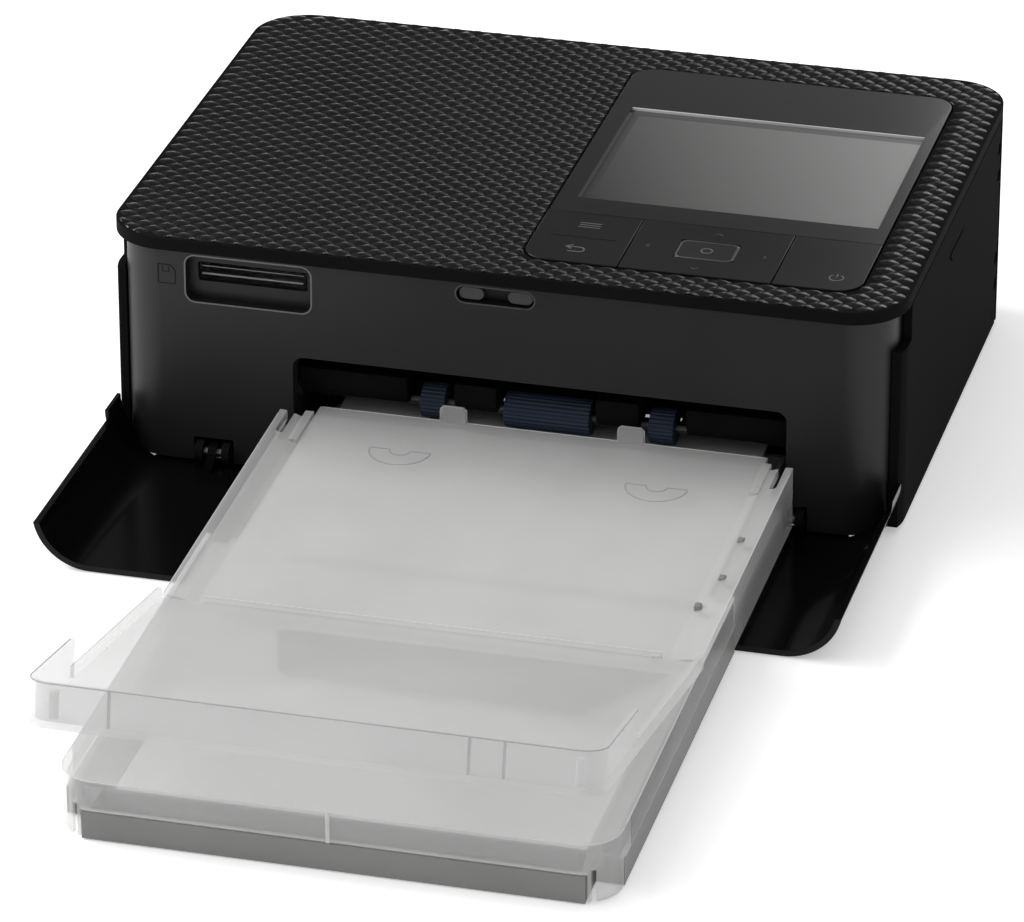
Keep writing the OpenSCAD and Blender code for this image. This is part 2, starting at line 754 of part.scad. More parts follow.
board_z = 27;
board_x0 = -side_x + 13.6;
board_x1 = -50.5;
board_y0 = gear_plate_y1 + 2;
board_y1 = back_y - panel_t - 1;
board_posts = [for (x = [board_x0 + 4, board_x1 - 4], y = [board_y0 + 4, board_y1 - 8]) [x, y]];
port_z = board_z + 6.4;
dc_x = board_x0 + 6.7;
usb_x = board_x0 + 18.9;
module main_board() {
  color(board_c) in_frame() {
    span_box([board_x0, board_y0, board_z], [board_x1, board_y1, board_z + 1.6]);
    span_box([board_x0 + 3, board_y0 + 9, board_z + 1.6], [board_x0 + 15, board_y0 + 21, board_z + 3]);
    span_box([board_x0 + 3, board_y0 + 2, board_z + 1.6], [board_x0 + 15, board_y0 + 6, board_z + 6]);
    for (i = [0 : 1]) translate([board_x1 - 7, board_y0 + 7 + 8 * i, board_z + 1.6]) cylinder(h = 9, d = 6);
  }
}

module dc_inlet() {
  color(black_c) in_frame() difference() {
    union() {
      span_box([dc_x - 5, board_y1 - 13, board_z + 1.6], [dc_x + 5, board_y1, port_z + 4.4]);
      translate([dc_x, board_y1 - 1, port_z]) rotate([-90, 0, 0]) cylinder(h = panel_t + 0.6, d = 8.4);
    }
    difference() {
      translate([dc_x, board_y1 - 10, port_z]) rotate([-90, 0, 0]) cylinder(h = 20, d = 6);
      translate([dc_x, board_y1 - 11, port_z]) rotate([-90, 0, 0]) cylinder(h = 10, d = 1.6);
    }
  }
}

module usb_port() {
  color(steel_c) in_frame() difference() {
    union() {
      span_box([usb_x - 6.6, board_y1 - 13, board_z + 1.6], [usb_x + 6.6, board_y1, port_z + 3]);
      span_box([usb_x - 6.6, board_y1 - 13, port_z - 3], [usb_x + 6.6, back_y - 0.6, port_z + 3]);
    }
    span_box([usb_x - 6.1, board_y1 - 12, port_z - 2.5], [usb_x + 6.1, back_y + over, port_z + 2.5]);
  }
}

// ---------- frame ----------

// Outline of a frame plate seen from the side, from the front end to the rear end
module plate_outline(y0, y1, high_from) {
  polygon([[y0, floor_top], [y1, floor_top], [y1, 48], [high_from, 48],
           [high_from - 6, 41], [y0, 30]]);
}

module frame_plate(x0, cut_ink) {
  translate([x0, 0, 0]) rotate([90, 0, 90]) linear_extrude(plate_t) difference() {
    plate_outline(front_y + 6.8, pivot_p[0] + 6, ink_y0 - 5);
    for (p = [feed_p, capstan_p, pinch_p]) translate(p) circle(d = bearing_d);
    translate(platen_p) circle(d = bearing_d + 2);
    if (cut_ink) translate([ink_y0 - 0.6, ink_z0 - 0.6]) square([ink_l + 1.2, ink_h + 1.2]);
    if (!cut_ink) translate(takeup_p) circle(d = hub_d + 2 * run_gap);
    for (p = tie_places) translate(p) circle(d = tie_d);
  }
}

bearing_d = 5;
hub_d = 4.6;
tie_d = 4;
tie_places = [[mech_y - 34, 7], [pivot_p[0], 8], pivot_p];

module left_frame_plate() { color(steel_c) in_frame() frame_plate(plate_out_l, false); }

module right_frame_plate() { color(steel_c) in_frame() frame_plate(plate_in_r, true); }

module frame_tie_bars() {
  color(steel_c) in_frame() for (p = tie_places)
    rod_x(plate_out_l, plate_out_r, p[0], p[1], tie_d);
}

gear_posts = [[mech_y - 56, 6.6], [mech_y + 19, 8], [mech_y + 19, 42]];
// Outer plate of the gear train, with its posts and the idler gear's fixed axle
module gear_plate() {
  color(steel_c) in_frame() {
    translate([gear_plate_x - plate_t, 0, 0]) rotate([90, 0, 90]) linear_extrude(plate_t) difference() {
      polygon([[front_y + 6.8, floor_top], [gear_plate_y1, floor_top], [gear_plate_y1, 47],
               [mech_y - 29, 47], [mech_y - 35, 42], [front_y + 6.8, 34]]);
      for (p = [pinion_p, ribbon_pinion_p]) translate(p) circle(d = motor_boss_d);
    }
    rod_x(gear_plate_x - plate_t, plate_out_l, idler_p[0], idler_p[1], gear_shaft_d);
    for (p = gear_posts) rod_x(gear_plate_x - plate_t, plate_out_l, p[0], p[1], tie_d);
  }
}

// Flanged bush in a frame plate
module bush(x0, p, outer_d, inner_d, s) {
  translate([x0, p[0], p[1]]) rotate([0, s * 90, 0]) difference() {
    union() {
      cylinder(h = plate_t, d = outer_d);
      translate([0, 0, -0.8]) cylinder(h = 0.8, d = outer_d + 1.2);
    }
    translate([0, 0, -over - 0.8]) cylinder(h = 6, d = inner_d + 2 * run_gap);
  }
}

module shaft_bearings() {
  color(black_c) in_frame() {
    for (p = [feed_p, capstan_p, pinch_p]) {
      bush(plate_in_l, p, bearing_d, feed_shaft_d, -1);
      bush(plate_in_r, p, bearing_d, feed_shaft_d, 1);
    }
    bush(plate_in_l, platen_p, bearing_d + 2, platen_shaft_d, -1);
    bush(plate_in_r, platen_p, bearing_d + 2, platen_shaft_d, 1);
  }
}

// ---------- rollers and gears ----------

module feed_shaft() {
  color(steel_c) in_frame() rod_x(shaft_end_l, shaft_end_r, feed_p[0], feed_p[1], feed_shaft_d);
}

// Rubber roller with fine grooves along it
module ribbed_roller(x0, x1, p, d, shaft_d) {
  ribs = 24;
  translate([x0, p[0], p[1]]) rotate([90, 0, 90]) linear_extrude(x1 - x0) difference() {
    polygon([for (i = [0 : ribs - 1], c = [[0.5, 0], [0.5, 0.55], [0.47, 0.65], [0.47, 0.9]])
      d * c[0] * [cos((i + c[1]) * 360 / ribs), sin((i + c[1]) * 360 / ribs)]]);
    circle(d = shaft_d);
  }
}

module feed_roller_middle() {
  color(navy_c) in_frame()
    ribbed_roller(path_x - feed_mid_w / 2, path_x + feed_mid_w / 2, feed_p, feed_d, feed_shaft_d);
}

module feed_rollers_side() {
  color(navy_c) in_frame() for (s = [-1, 1]) ribbed_roller(path_x + s * feed_side_x - feed_side_w / 2,
    path_x + s * feed_side_x + feed_side_w / 2, feed_p, feed_d, feed_shaft_d);
}

module feed_gear() {
  color(gear_c) in_frame() gear_x(gear_x0, feed_p, feed_teeth, feed_a, feed_shaft_d);
}

module idler_gear() {
  color(gear_c) in_frame() gear_x(gear_x0, idler_p, idler_teeth, idler_a, gear_shaft_d + 2 * run_gap);
}

module capstan_roller() {
  color(steel_c) in_frame() {
    rod_x(path_x - roller_w / 2, path_x + roller_w / 2, capstan_p[0], capstan_p[1], capstan_d);
    rod_x(shaft_end_l, shaft_end_r, capstan_p[0], capstan_p[1], feed_shaft_d);
  }
}

module capstan_gear() {
  color(gear_c) in_frame() gear_x(gear_x0, capstan_p, capstan_teeth, capstan_a, feed_shaft_d);
}

module pinch_roller() {
  color(rubber_c) in_frame() {
    rod_x(path_x - roller_w / 2, path_x + roller_w / 2, pinch_p[0], pinch_p[1], pinch_d);
    rod_x(plate_out_l, plate_out_r, pinch_p[0], pinch_p[1], feed_shaft_d);
  }
}

module platen_roller() {
  color(rubber_c) in_frame() {
    rod_x(path_x - roller_w / 2, path_x + roller_w / 2, platen_p[0], platen_p[1], platen_d);
    rod_x(plate_out_l, plate_out_r, platen_p[0], platen_p[1], platen_shaft_d);
  }
}

motor_boss_d = 7;
// Motor whose shaft points to the frame, with its can beyond the gear plate
module motor(p) {
  x1 = gear_plate_x - plate_t;
  rod_x(x1 - motor_l, x1, p[0], p[1], motor_d);
  rod_x(x1 - motor_l - 2, x1 + plate_t, p[0], p[1], motor_boss_d);
}

module feed_motor() { color(alloy_c) in_frame() motor(pinion_p); }

module ribbon_motor() { color(alloy_c) in_frame() motor(ribbon_pinion_p); }

// Pinion in the gear layer at x, on its shaft from the motor
module motor_pinion(x, p, a) {
  gear_x(x, p, pinion_teeth, a, motor_shaft_d);
  rod_x(gear_plate_x + air_gap, x + gear_w, p[0], p[1], motor_shaft_d);
}

module feed_pinion() { color(gear_c) in_frame() motor_pinion(gear_x0, pinion_p, pinion_a); }

module ribbon_pinion() {
  color(gear_c) in_frame() motor_pinion(gear_x1, ribbon_pinion_p, ribbon_pinion_a);
}

// Gear with the hub that turns the take-up spool
module ribbon_gear() {
  color(gear_c) in_frame() {
    gear_x(gear_x1, takeup_p, ribbon_teeth, 0, hub_d);
    rod_x(gear_x1, ink_x0 - air_gap, takeup_p[0], takeup_p[1], hub_d);
  }
}

// ---------- print head ----------

head_w = 104;
head_z = path_z + 0.8;
module thermal_head() {
  color([0.83, 0.80, 0.70]) in_frame() {
    span_box([path_x - head_w / 2, head_y - 5.5, head_z + 0.4],
             [path_x + head_w / 2, head_y + 5.5, head_z + 1.6]);
    rod_x(path_x - head_w / 2, path_x + head_w / 2, head_y, head_z + 0.5, 1);
  }
}

module heat_sink() {
  color(alloy_c) in_frame() difference() {
    span_box([path_x - head_w / 2, head_y - 6, head_z + 1.6],
             [path_x + head_w / 2, head_y + 6, head_z + 10]);
    for (s = [-1, 1]) span_box([path_x - head_w, head_y + s * 3.4 - 1.1, head_z + 4],
                               [path_x + head_w, head_y + s * 3.4 + 1.1, head_z + 12]);
  }
}

arm_z = 46.9;
module head_arm() {
  color(steel_c) in_frame() difference() {
    union() {
      span_box([path_x - 50, head_y - 1.1, head_z + 10], [path_x + 50, head_y + 1.1, arm_z]);
      span_box([path_x - 50, head_y - 6, arm_z - 1.2], [path_x + 50, pivot_p[0], arm_z]);
      for (s = [-1, 1]) rod_x(path_x + s * 48 - 2, path_x + s * 48 + 2, pivot_p[0], pivot_p[1], pivot_d + 3);
    }
    rod_x(-body_w, body_w, pivot_p[0], pivot_p[1], pivot_d + 2 * run_gap);
    span_box([path_x - 40, head_y + 8, arm_z - over - 2], [path_x + 40, pivot_p[0] - 8, arm_z + over]);
  }
}

rail_x = roller_w / 2 + 0.8;
rail_t = 1.6;
guide_y0 = cas_front_y + cas_l + 3;
guide_y1 = back_y - panel_t - 2.5;
// Guide under the paper, hung on the tie bars, open where the rollers reach through it
module paper_guide() {
  top = path_z - 0.6;
  color(black_c) in_frame() difference() {
    union() {
      span_box([path_x - rail_x, guide_y0, top - 1.6], [path_x + rail_x, guide_y1, top]);
      for (s = [-1, 1]) span_box([path_x + s * (rail_x + rail_t / 2) - rail_t / 2, guide_y0, floor_top],
                                 [path_x + s * (rail_x + rail_t / 2) + rail_t / 2, guide_y1, top]);
    }
    span_box([path_x - rail_x, capstan_p[0] - capstan_d / 2 - 1, -over],
             [path_x + rail_x, capstan_p[0] + capstan_d / 2 + 1, body_h]);
    span_box([path_x - rail_x, platen_p[0] - platen_d / 2 - 1, -over],
             [path_x + rail_x, platen_p[0] + platen_d / 2 + 1, body_h]);
    for (p = tie_places) rod_x(-side_x, side_x, p[0], p[1], tie_d + 2 * run_gap);
    rod_x(-side_x, side_x, capstan_p[0], capstan_p[1], feed_shaft_d + 1);
    rod_x(-side_x, side_x, platen_p[0], platen_p[1], platen_shaft_d + 1);
  }
}

// ---------- ribbon cassette ----------

spool_room = 17.8;
ink_r = spool_room / 2 + ink_wall;
ink_x0 = plate_in_l + 2.5;
ink_x1 = plate_in_r + 8;
ink_y0 = takeup_p[0] - ink_r;
ink_l = supply_p[0] + ink_r - ink_y0;
ink_z0 = spool_z - ink_r;
ink_h = 2 * ink_r;

module ink_cassette() {
  end_t = 3;
  color([0.18, 0.18, 0.2]) in_frame() difference() {
    union() {
      for (p = [takeup_p, supply_p]) rod_x(ink_x0, ink_x1, p[0], p[1], 2 * ink_r);
      for (x = [ink_x0, ink_x1 - end_t])
        span_box([x, takeup_p[0], ink_z0 + 0.5], [x + end_t, supply_p[0], ink_z0 + ink_h - 0.5]);
    }
    for (p = [takeup_p, supply_p]) {
      rod_x(ink_x0 + end_t, ink_x1 - end_t, p[0], p[1], spool_room);
      span_box([ink_x0 + end_t, p[0] - ink_r - over, 0], [ink_x1 - end_t, p[0] + ink_r + over, p[1] - 4]);
      rod_x(ink_x0 - over, ink_x1 + over, p[0], p[1], core_d - 2 + 2 * run_gap);
    }
    span_box([ink_x0 - over, head_y - 8, 0], [ink_x1 - end_t, head_y + 8, arm_z]);
  }
}

module spool(p) {
  rod_x(ink_x0, ink_x1 - 0.8, p[0], p[1], core_d - 2);
  rod_x(ink_x0 + 3.3, ink_x1 - 3.3, p[0], p[1], core_d);
}

module supply_spool() { color(gear_c) in_frame() spool(supply_p); }

module takeup_spool() {
  color(gear_c) in_frame() {
    spool(takeup_p);
    rod_x(path_x - 51, path_x + 51, takeup_p[0], takeup_p[1], takeup_d);
  }
}

module ribbon_roll() {
  color(film_c) in_frame() difference() {
    rod_x(path_x - 51, path_x + 51, supply_p[0], supply_p[1], supply_d);
    rod_x(path_x - 60, path_x + 60, supply_p[0], supply_p[1], core_d);
  }
}

// Film from the supply roll under the head to the take-up roll
module ribbon_film() {
  film = 0.15;
  z_low = path_z + 0.35;
  line = [[supply_p[0], supply_p[1] - supply_d / 2 - 0.4], [head_y + 6, z_low], [head_y - 6, z_low],
          [takeup_p[0], takeup_p[1] - takeup_d / 2 - 0.4]];
  color(film_c) in_frame() translate([path_x - 51, 0, 0]) rotate([90, 0, 90]) linear_extrude(102)
    polygon(concat(line, [for (i = [3 : -1 : 0]) line[i] - [0, -film]]));
}

// ---------- front cover ----------

module front_cover() {
  y_front = front_y - door_out;
  y_rear = front_y - 1;
  color(gloss_c) in_frame() {
    difference() {
      translate([0, y_rear, door_z + body_r]) rotate([90, 0, 0]) linear_extrude(y_rear - y_front)
        difference() {
          cover_section(0);
          cover_section(door_t);
        }
      span_box([-side_x - over, y_front - over, door_z + wrap_h],
               [side_x + over, front_y + over, 2 * body_h]);
    }
    for (s = [-1, 1]) hinge_arm(s * arm_x);
  }
}

// Rounded section of the cover, a distance inside its outer face
module cover_section(inset) {
  r = body_r - inset;
  for (s = [-1, 1]) translate([s * (side_x - body_r), 0]) circle(r);
  translate([-side_x + body_r, -r]) square([2 * (side_x - body_r), 2 * r]);
  translate([-side_x + inset, 0]) square([2 * (side_x - inset), wrap_h]);
}

module hinge_arm(x) {
  translate([x - arm_t / 2, 0, 0]) rotate([90, 0, 90]) linear_extrude(arm_t) difference() {
    union() {
      translate(hinge_p) circle(d = pin_d + 2.4);
      polygon([[hinge_y - pin_d / 2 - 1.1, hinge_z], [hinge_y + 0.6, hinge_z - pin_d / 2 - 1.2],
               [front_y - 1.5, door_z + 0.4], [front_y - 4, door_z + 0.4], [front_y - 4, door_z + door_t]]);
    }
    translate(hinge_p) circle(d = pin_d + 2 * run_gap);
  }
}

module front_cover_pins() {
  color(steel_c) in_frame() for (s = [-1, 1])
    rod_x(s * arm_x - pin_l / 2, s * arm_x + pin_l / 2, hinge_y, hinge_z, pin_d);
}

// ---------- paper cassette ----------

corner_v = 9;
ear_v = cas_out - 1.8;
side_split = cas_out - 59;

// Flat outline of the cassette: strip at the front, full width, then the neck
module cassette_outline(front_w, w, neck, v_end) {
  translate([-front_w / 2, 0]) square([front_w, corner_v + 1]);
  translate([-w / 2, corner_v]) square([w, side_split - corner_v]);
  translate([-(w / 2 - clear_t - air_gap), side_split - 1])
    square([w - 2 * (clear_t + air_gap), ear_v - side_split - 2]);
  translate([-neck / 2, ear_v - 4]) square([neck, v_end - ear_v + 4]);
}

module cassette_base() {
  color(grey_c) in_cassette() difference() {
    linear_extrude(band_h) cassette_outline(strip_w, cas_w, cas_neck_w, cas_l);
    translate([0, 0, base_t]) linear_extrude(band_h) {
      translate([-strip_w / 2 + base_t, base_t]) square([strip_w - 2 * base_t, cas_l - 2 * base_t]);
      translate([-cas_w / 2 + base_t, corner_v + base_t])
        square([cas_w - 2 * base_t, side_split - corner_v - 2 * base_t]);
    }
    for (s = [-1, 1]) span_box([s * 40 - 4, cas_l - 14, -over], [s * 40 + 4, cas_l - 6, over + base_t]);
  }
}

// Plan of the clear covers with rounded front corners
module lid_plan(inset) {
  w = cas_w - 2 * inset;
  r = 8 - inset;
  for (s = [-1, 1]) translate([s * (w / 2 - r), r + inset]) circle(r);
  translate([-w / 2 + r, inset]) square([w - 2 * r, 3 * r]);
  translate([-w / 2, r + inset]) square([w, side_split + 2 - r - inset]);
}

module cassette_lid() {
  rest_w = cas_neck_w / 2;
  step_v = crease_v - 3;
  color(clear_c) in_cassette() difference() {
    union() {
      translate([0, 0, 0.2]) linear_extrude(lid_h - 0.2) lid_plan(0);
      span_box([-rest_w, side_split, lid_low - clear_t], [rest_w, ear_v + 6, lid_low]);
    }
    difference() {
      translate([0, 0, -over]) linear_extrude(lid_h - clear_t + over) lid_plan(clear_t);
      span_box([-cas_w, step_v - clear_t, lid_low - clear_t], [cas_w, side_split + 3, lid_h]);
    }
    span_box([-cas_w / 2 + clear_t, step_v, lid_low], [cas_w / 2 - clear_t, side_split + 5, lid_h + over]);
    translate([0, 0, -over]) linear_extrude(band_h + air_gap + over) {
      translate([-cas_w, corner_v - air_gap]) square([2 * cas_w, cas_l]);
      translate([-strip_w / 2 - air_gap, -over]) square([strip_w + 2 * air_gap, corner_v + 4]);
    }
    for (s = [-1, 1]) span_box([s * (cas_w / 2 - 4.5) - 0.5, -over, -over],
                               [s * (cas_w / 2 - 4.5) + 0.5, 3, lid_h - 6]);
    for (s = [-1, 1]) span_box([s * (cas_w / 2 - 1) - 4, side_split - air_gap, -over],
                               [s * (cas_w / 2 - 1) + 4, side_split + 5, lid_h + over]);
  }
}

// Cross-section of the output deck: floor, sloping sides and outer walls
module deck_section(low) {
  e = cas_w / 2;
  f = deck_w / 2;
  polygon([[-f, deck_z], [f, deck_z], [e - clear_t, deck_edge_h - clear_t - 1.2], [e - clear_t, low],
           [e, low], [e, deck_edge_h], [e - clear_t, deck_edge_h], [f - 0.4, deck_z + clear_t],
           [-f + 0.4, deck_z + clear_t], [-e + clear_t, deck_edge_h], [-e, deck_edge_h], [-e, low],
           [-e + clear_t, low], [-e + clear_t, deck_edge_h - clear_t - 1.2]]);
}

tab_w = 6;
tab_x = 20.5;
tab_h = 3.9;
deck_end = cas_out + 5.4;
module output_deck() {
  rib_w = deck_w / 2 - 2 + air_gap;
  color(clear_c) in_cassette() difference() {
    union() {
      translate([0, side_split, 0]) rotate([90, 0, 0]) linear_extrude(side_split - crease_v - 0.1)
        deck_section(lid_h + 0.3);
      translate([0, ear_v, 0]) rotate([90, 0, 0]) linear_extrude(ear_v - side_split) deck_section(0.9);
      translate([-deck_w / 2, side_split, deck_z]) cube([deck_w, deck_end - side_split, clear_t]);
      for (s = [-1, 1]) {
        translate([s * tab_x, deck_end, deck_z + clear_t + tab_h / 2 - 1]) rotate([90, 0, 0])
          linear_extrude(clear_t) round_rect(tab_w, tab_h + 2, 1);
        span_box([s * (deck_w / 2 + 1) - 1, ear_v - 12, deck_z],
                 [s * (deck_w / 2 + 1) + 1, deck_end - 5, deck_z + 2.4]);
      }
      span_box([-rib_w, crease_v + 0.1, deck_z], [rib_w, crease_v + 2.4, bead_z + 0.2]);
    }
    for (s = [-1, 1]) translate([s * (cas_w / 2 - clear_t - 1.3), ear_v + 10, -over]) linear_extrude(body_h)
      round_rect(1.6, 40, 0.7);
    rod_x(-cas_w, cas_w, crease_v, bead_z, bead_d + 2 * run_gap);
  }
}

module output_flap() {
  color(clear_c) {
    in_cassette() rod_x(-deck_w / 2 + 2, deck_w / 2 - 2, crease_v, bead_z, bead_d);
    in_flap() difference() {
      translate([0, 0, -clear_t / 2]) linear_extrude(lip_h) flap_plan(flap_w, flap_r, 0);
      translate([0, 0, clear_t / 2]) linear_extrude(lip_h)
        flap_plan(flap_w - 2 * clear_t, flap_r - clear_t, clear_t);
      translate([-cas_w, -over, flap_wall_h - clear_t / 2])
        cube([2 * cas_w, flap_l - stub_l + over, lip_h]);
      for (s = [-1, 1])
        translate([s * flap_w / 2 - 2, flap_l - stub_l - 0.9, clear_t / 2]) cube([4, 0.9, lip_h]);
    }
    in_flap() translate([-deck_w / 2 + 3, 0, -clear_t / 2]) cube([deck_w - 6, 2, clear_t]);
  }
}

// Plan of the flap from just before the crease to the lip
module flap_plan(w, r, inset) {
  translate([-w / 2, 1.2]) square([w, flap_l - inset - r - 1.2]);
  translate([-w / 2 + r, 1.2]) square([w - 2 * r, flap_l - inset - 1.2]);
  for (s = [-1, 1]) translate([s * (w / 2 - r), flap_l - inset - r]) circle(r);
}

lift_v0 = 66;
lift_l = cas_l - lift_v0 - 4;
lift_w = 98;
lift_t = 1;
lift_top = feed_z - feed_d / 2 - cas_lift - (cas_out + feed_y) * sin(cas_tilt) - air_gap;
lift_pin_z = base_t + 1.2;
lift_angle = asin((lift_top - lift_pin_z - lift_t) / (cas_out + feed_y - lift_v0));
module lift_plate() {
  color(grey_c) in_cassette() {
    translate([0, lift_v0, lift_pin_z]) rotate([lift_angle, 0, 0]) translate([-lift_w / 2, 0, 0])
      cube([lift_w, lift_l, lift_t]);
    rod_x(-lift_w / 2, lift_w / 2, lift_v0, lift_pin_z, 1.8);
  }
}

spring_v = 150;
module lift_spring() {
  turns = 4;
  wire = 0.5;
  coil_r = 4;
  z0 = base_t + wire;
  z1 = lift_pin_z + (spring_v - lift_v0) * tan(lift_angle) - wire - 0.5;
  steps = 18 * turns;
  sides = 6;
  ring = [for (i = [0 : steps], k = [0 : sides - 1])
    let (a = 360 * turns * i / steps, b = 360 * k / sides, q = coil_r + wire * cos(b))
    [q * cos(a), q * sin(a), z0 + (z1 - z0) * i / steps + wire * sin(b)]];
  side_faces = [for (i = [0 : steps - 1], k = [0 : sides - 1])
    let (n = (k + 1) % sides) [i * sides + k, i * sides + n, (i + 1) * sides + n, (i + 1) * sides + k]];
  caps = [[for (k = [sides - 1 : -1 : 0]) k], [for (k = [0 : sides - 1]) steps * sides + k]];
  color(steel_c) in_cassette() translate([0, spring_v, 0]) polyhedron(ring, concat(side_faces, caps), 4);
}

bottom_case();
front_panel();
left_side_panel();
rear_panel();
top_cover();
ink_door();
ink_door_pins();
front_cover();
front_cover_pins();
rubber_feet();
case_screws();
cover_catch();
display_window();
lcd_module();
display_cable();
menu_key();
navigation_key();
ok_key();
power_key();
key_mat();
key_board();
card_reader();
main_board();
dc_inlet();
usb_port();
left_frame_plate();
right_frame_plate();
gear_plate();
frame_tie_bars();
feed_shaft();
feed_roller_middle();
feed_rollers_side();
shaft_bearings();
feed_gear();
idler_gear();
capstan_roller();
capstan_gear();
pinch_roller();
platen_roller();
feed_motor();
feed_pinion();
ribbon_motor();
ribbon_pinion();
ribbon_gear();
thermal_head();
heat_sink();
head_arm();
paper_guide();
ink_cassette();
supply_spool();
takeup_spool();
ribbon_roll();
ribbon_film();
cassette_base();
cassette_lid();
output_deck();
output_flap();
lift_plate();
lift_spring();
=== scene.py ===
"""Compact photo printer with a loaded paper cassette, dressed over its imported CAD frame.

Every length in this file is in millimetres in the printer's own frame, x to the right,
y to the back and z up, until it is put into a mesh.
"""

from __future__ import annotations

import logging
import math
from dataclasses import dataclass, field
from enum import Enum
from typing import Callable, Iterable, Sequence

import bmesh
import bpy
from mathutils import Matrix, Vector


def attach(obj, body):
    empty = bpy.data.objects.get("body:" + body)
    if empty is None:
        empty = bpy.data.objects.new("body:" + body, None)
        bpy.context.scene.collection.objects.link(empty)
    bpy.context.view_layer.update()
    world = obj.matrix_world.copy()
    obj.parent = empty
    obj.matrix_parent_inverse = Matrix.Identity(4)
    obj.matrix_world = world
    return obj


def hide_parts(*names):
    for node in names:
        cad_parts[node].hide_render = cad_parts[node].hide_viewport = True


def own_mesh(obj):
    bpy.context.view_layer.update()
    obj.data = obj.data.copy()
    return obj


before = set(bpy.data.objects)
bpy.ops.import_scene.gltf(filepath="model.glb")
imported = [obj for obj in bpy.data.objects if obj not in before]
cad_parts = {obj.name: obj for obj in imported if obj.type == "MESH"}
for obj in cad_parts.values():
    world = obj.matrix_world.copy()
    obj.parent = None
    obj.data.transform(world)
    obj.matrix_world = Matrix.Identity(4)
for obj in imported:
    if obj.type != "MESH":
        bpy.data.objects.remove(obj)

LOG = logging.getLogger("photo_printer")
MM = 0.001
BASE_SHIFT = 90.65485
BODY_W = 182.2
BODY_D = 133.0
BODY_R = 13.0
COVER_TOP = 57.2
FRONT_Y = -BODY_D / 2
FACE_Y = FRONT_Y + 2.3
CASSETTE_FRONT = FRONT_Y - 167.0
CASSETTE_X = 9.7
CASSETTE_TILT = math.radians(1.1)
FLAP_CREASE = 76.0
FLAP_LEVEL = 14.55
FLAP_TILT = math.radians(12.1)
FLAP_LENGTH = 92.0

Point2 = tuple[float, float]
Point3 = tuple[float, float, float]
Face = Sequence[int]
Shape = tuple[list[Point3], list[Face]]


class Body(Enum):
    """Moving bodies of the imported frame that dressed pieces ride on."""

    ROOT = "root"
    FRONT_COVER = "front_cover"
    INK_DOOR = "ink_door"
    MENU = "menu_key"
    NAVIGATION = "navigation_key"
    CONFIRM = "ok_key"
    POWER = "power_key"
    FEED = "feed_rollers"
    CASSETTE = "cassette"
    FLAP = "output_flap"


class Slot(Enum):
    """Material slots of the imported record."""

    CASE = "case_black"
    GLOSS = "gloss_black"
    SCREEN = "screen_glass"
    STEEL = "steel"
    NAVY = "navy_rubber"
    CLEAR = "clear_smoke"
    GREY = "cassette_grey"
    GEAR = "gear_white"


# ---------- shader node groups ----------


def math_node(
    tree: bpy.types.NodeTree,
    operation: str,
    *values: float | bpy.types.NodeSocket,
    clamp: bool = False,
) -> bpy.types.NodeSocket:
    """Adds a math node.

    Args:
        tree: the node tree it goes into.
        operation: what it does.
        values: its inputs, as numbers or as sockets.
        clamp: whether its result stays between nought and one.

    Returns:
        Its output.
    """
    node = tree.nodes.new("ShaderNodeMath")
    node.operation = operation
    node.use_clamp = clamp
    for socket, value in zip(node.inputs, values):
        if isinstance(value, bpy.types.NodeSocket):
            tree.links.new(value, socket)
        else:
            socket.default_value = value
    return node.outputs[0]


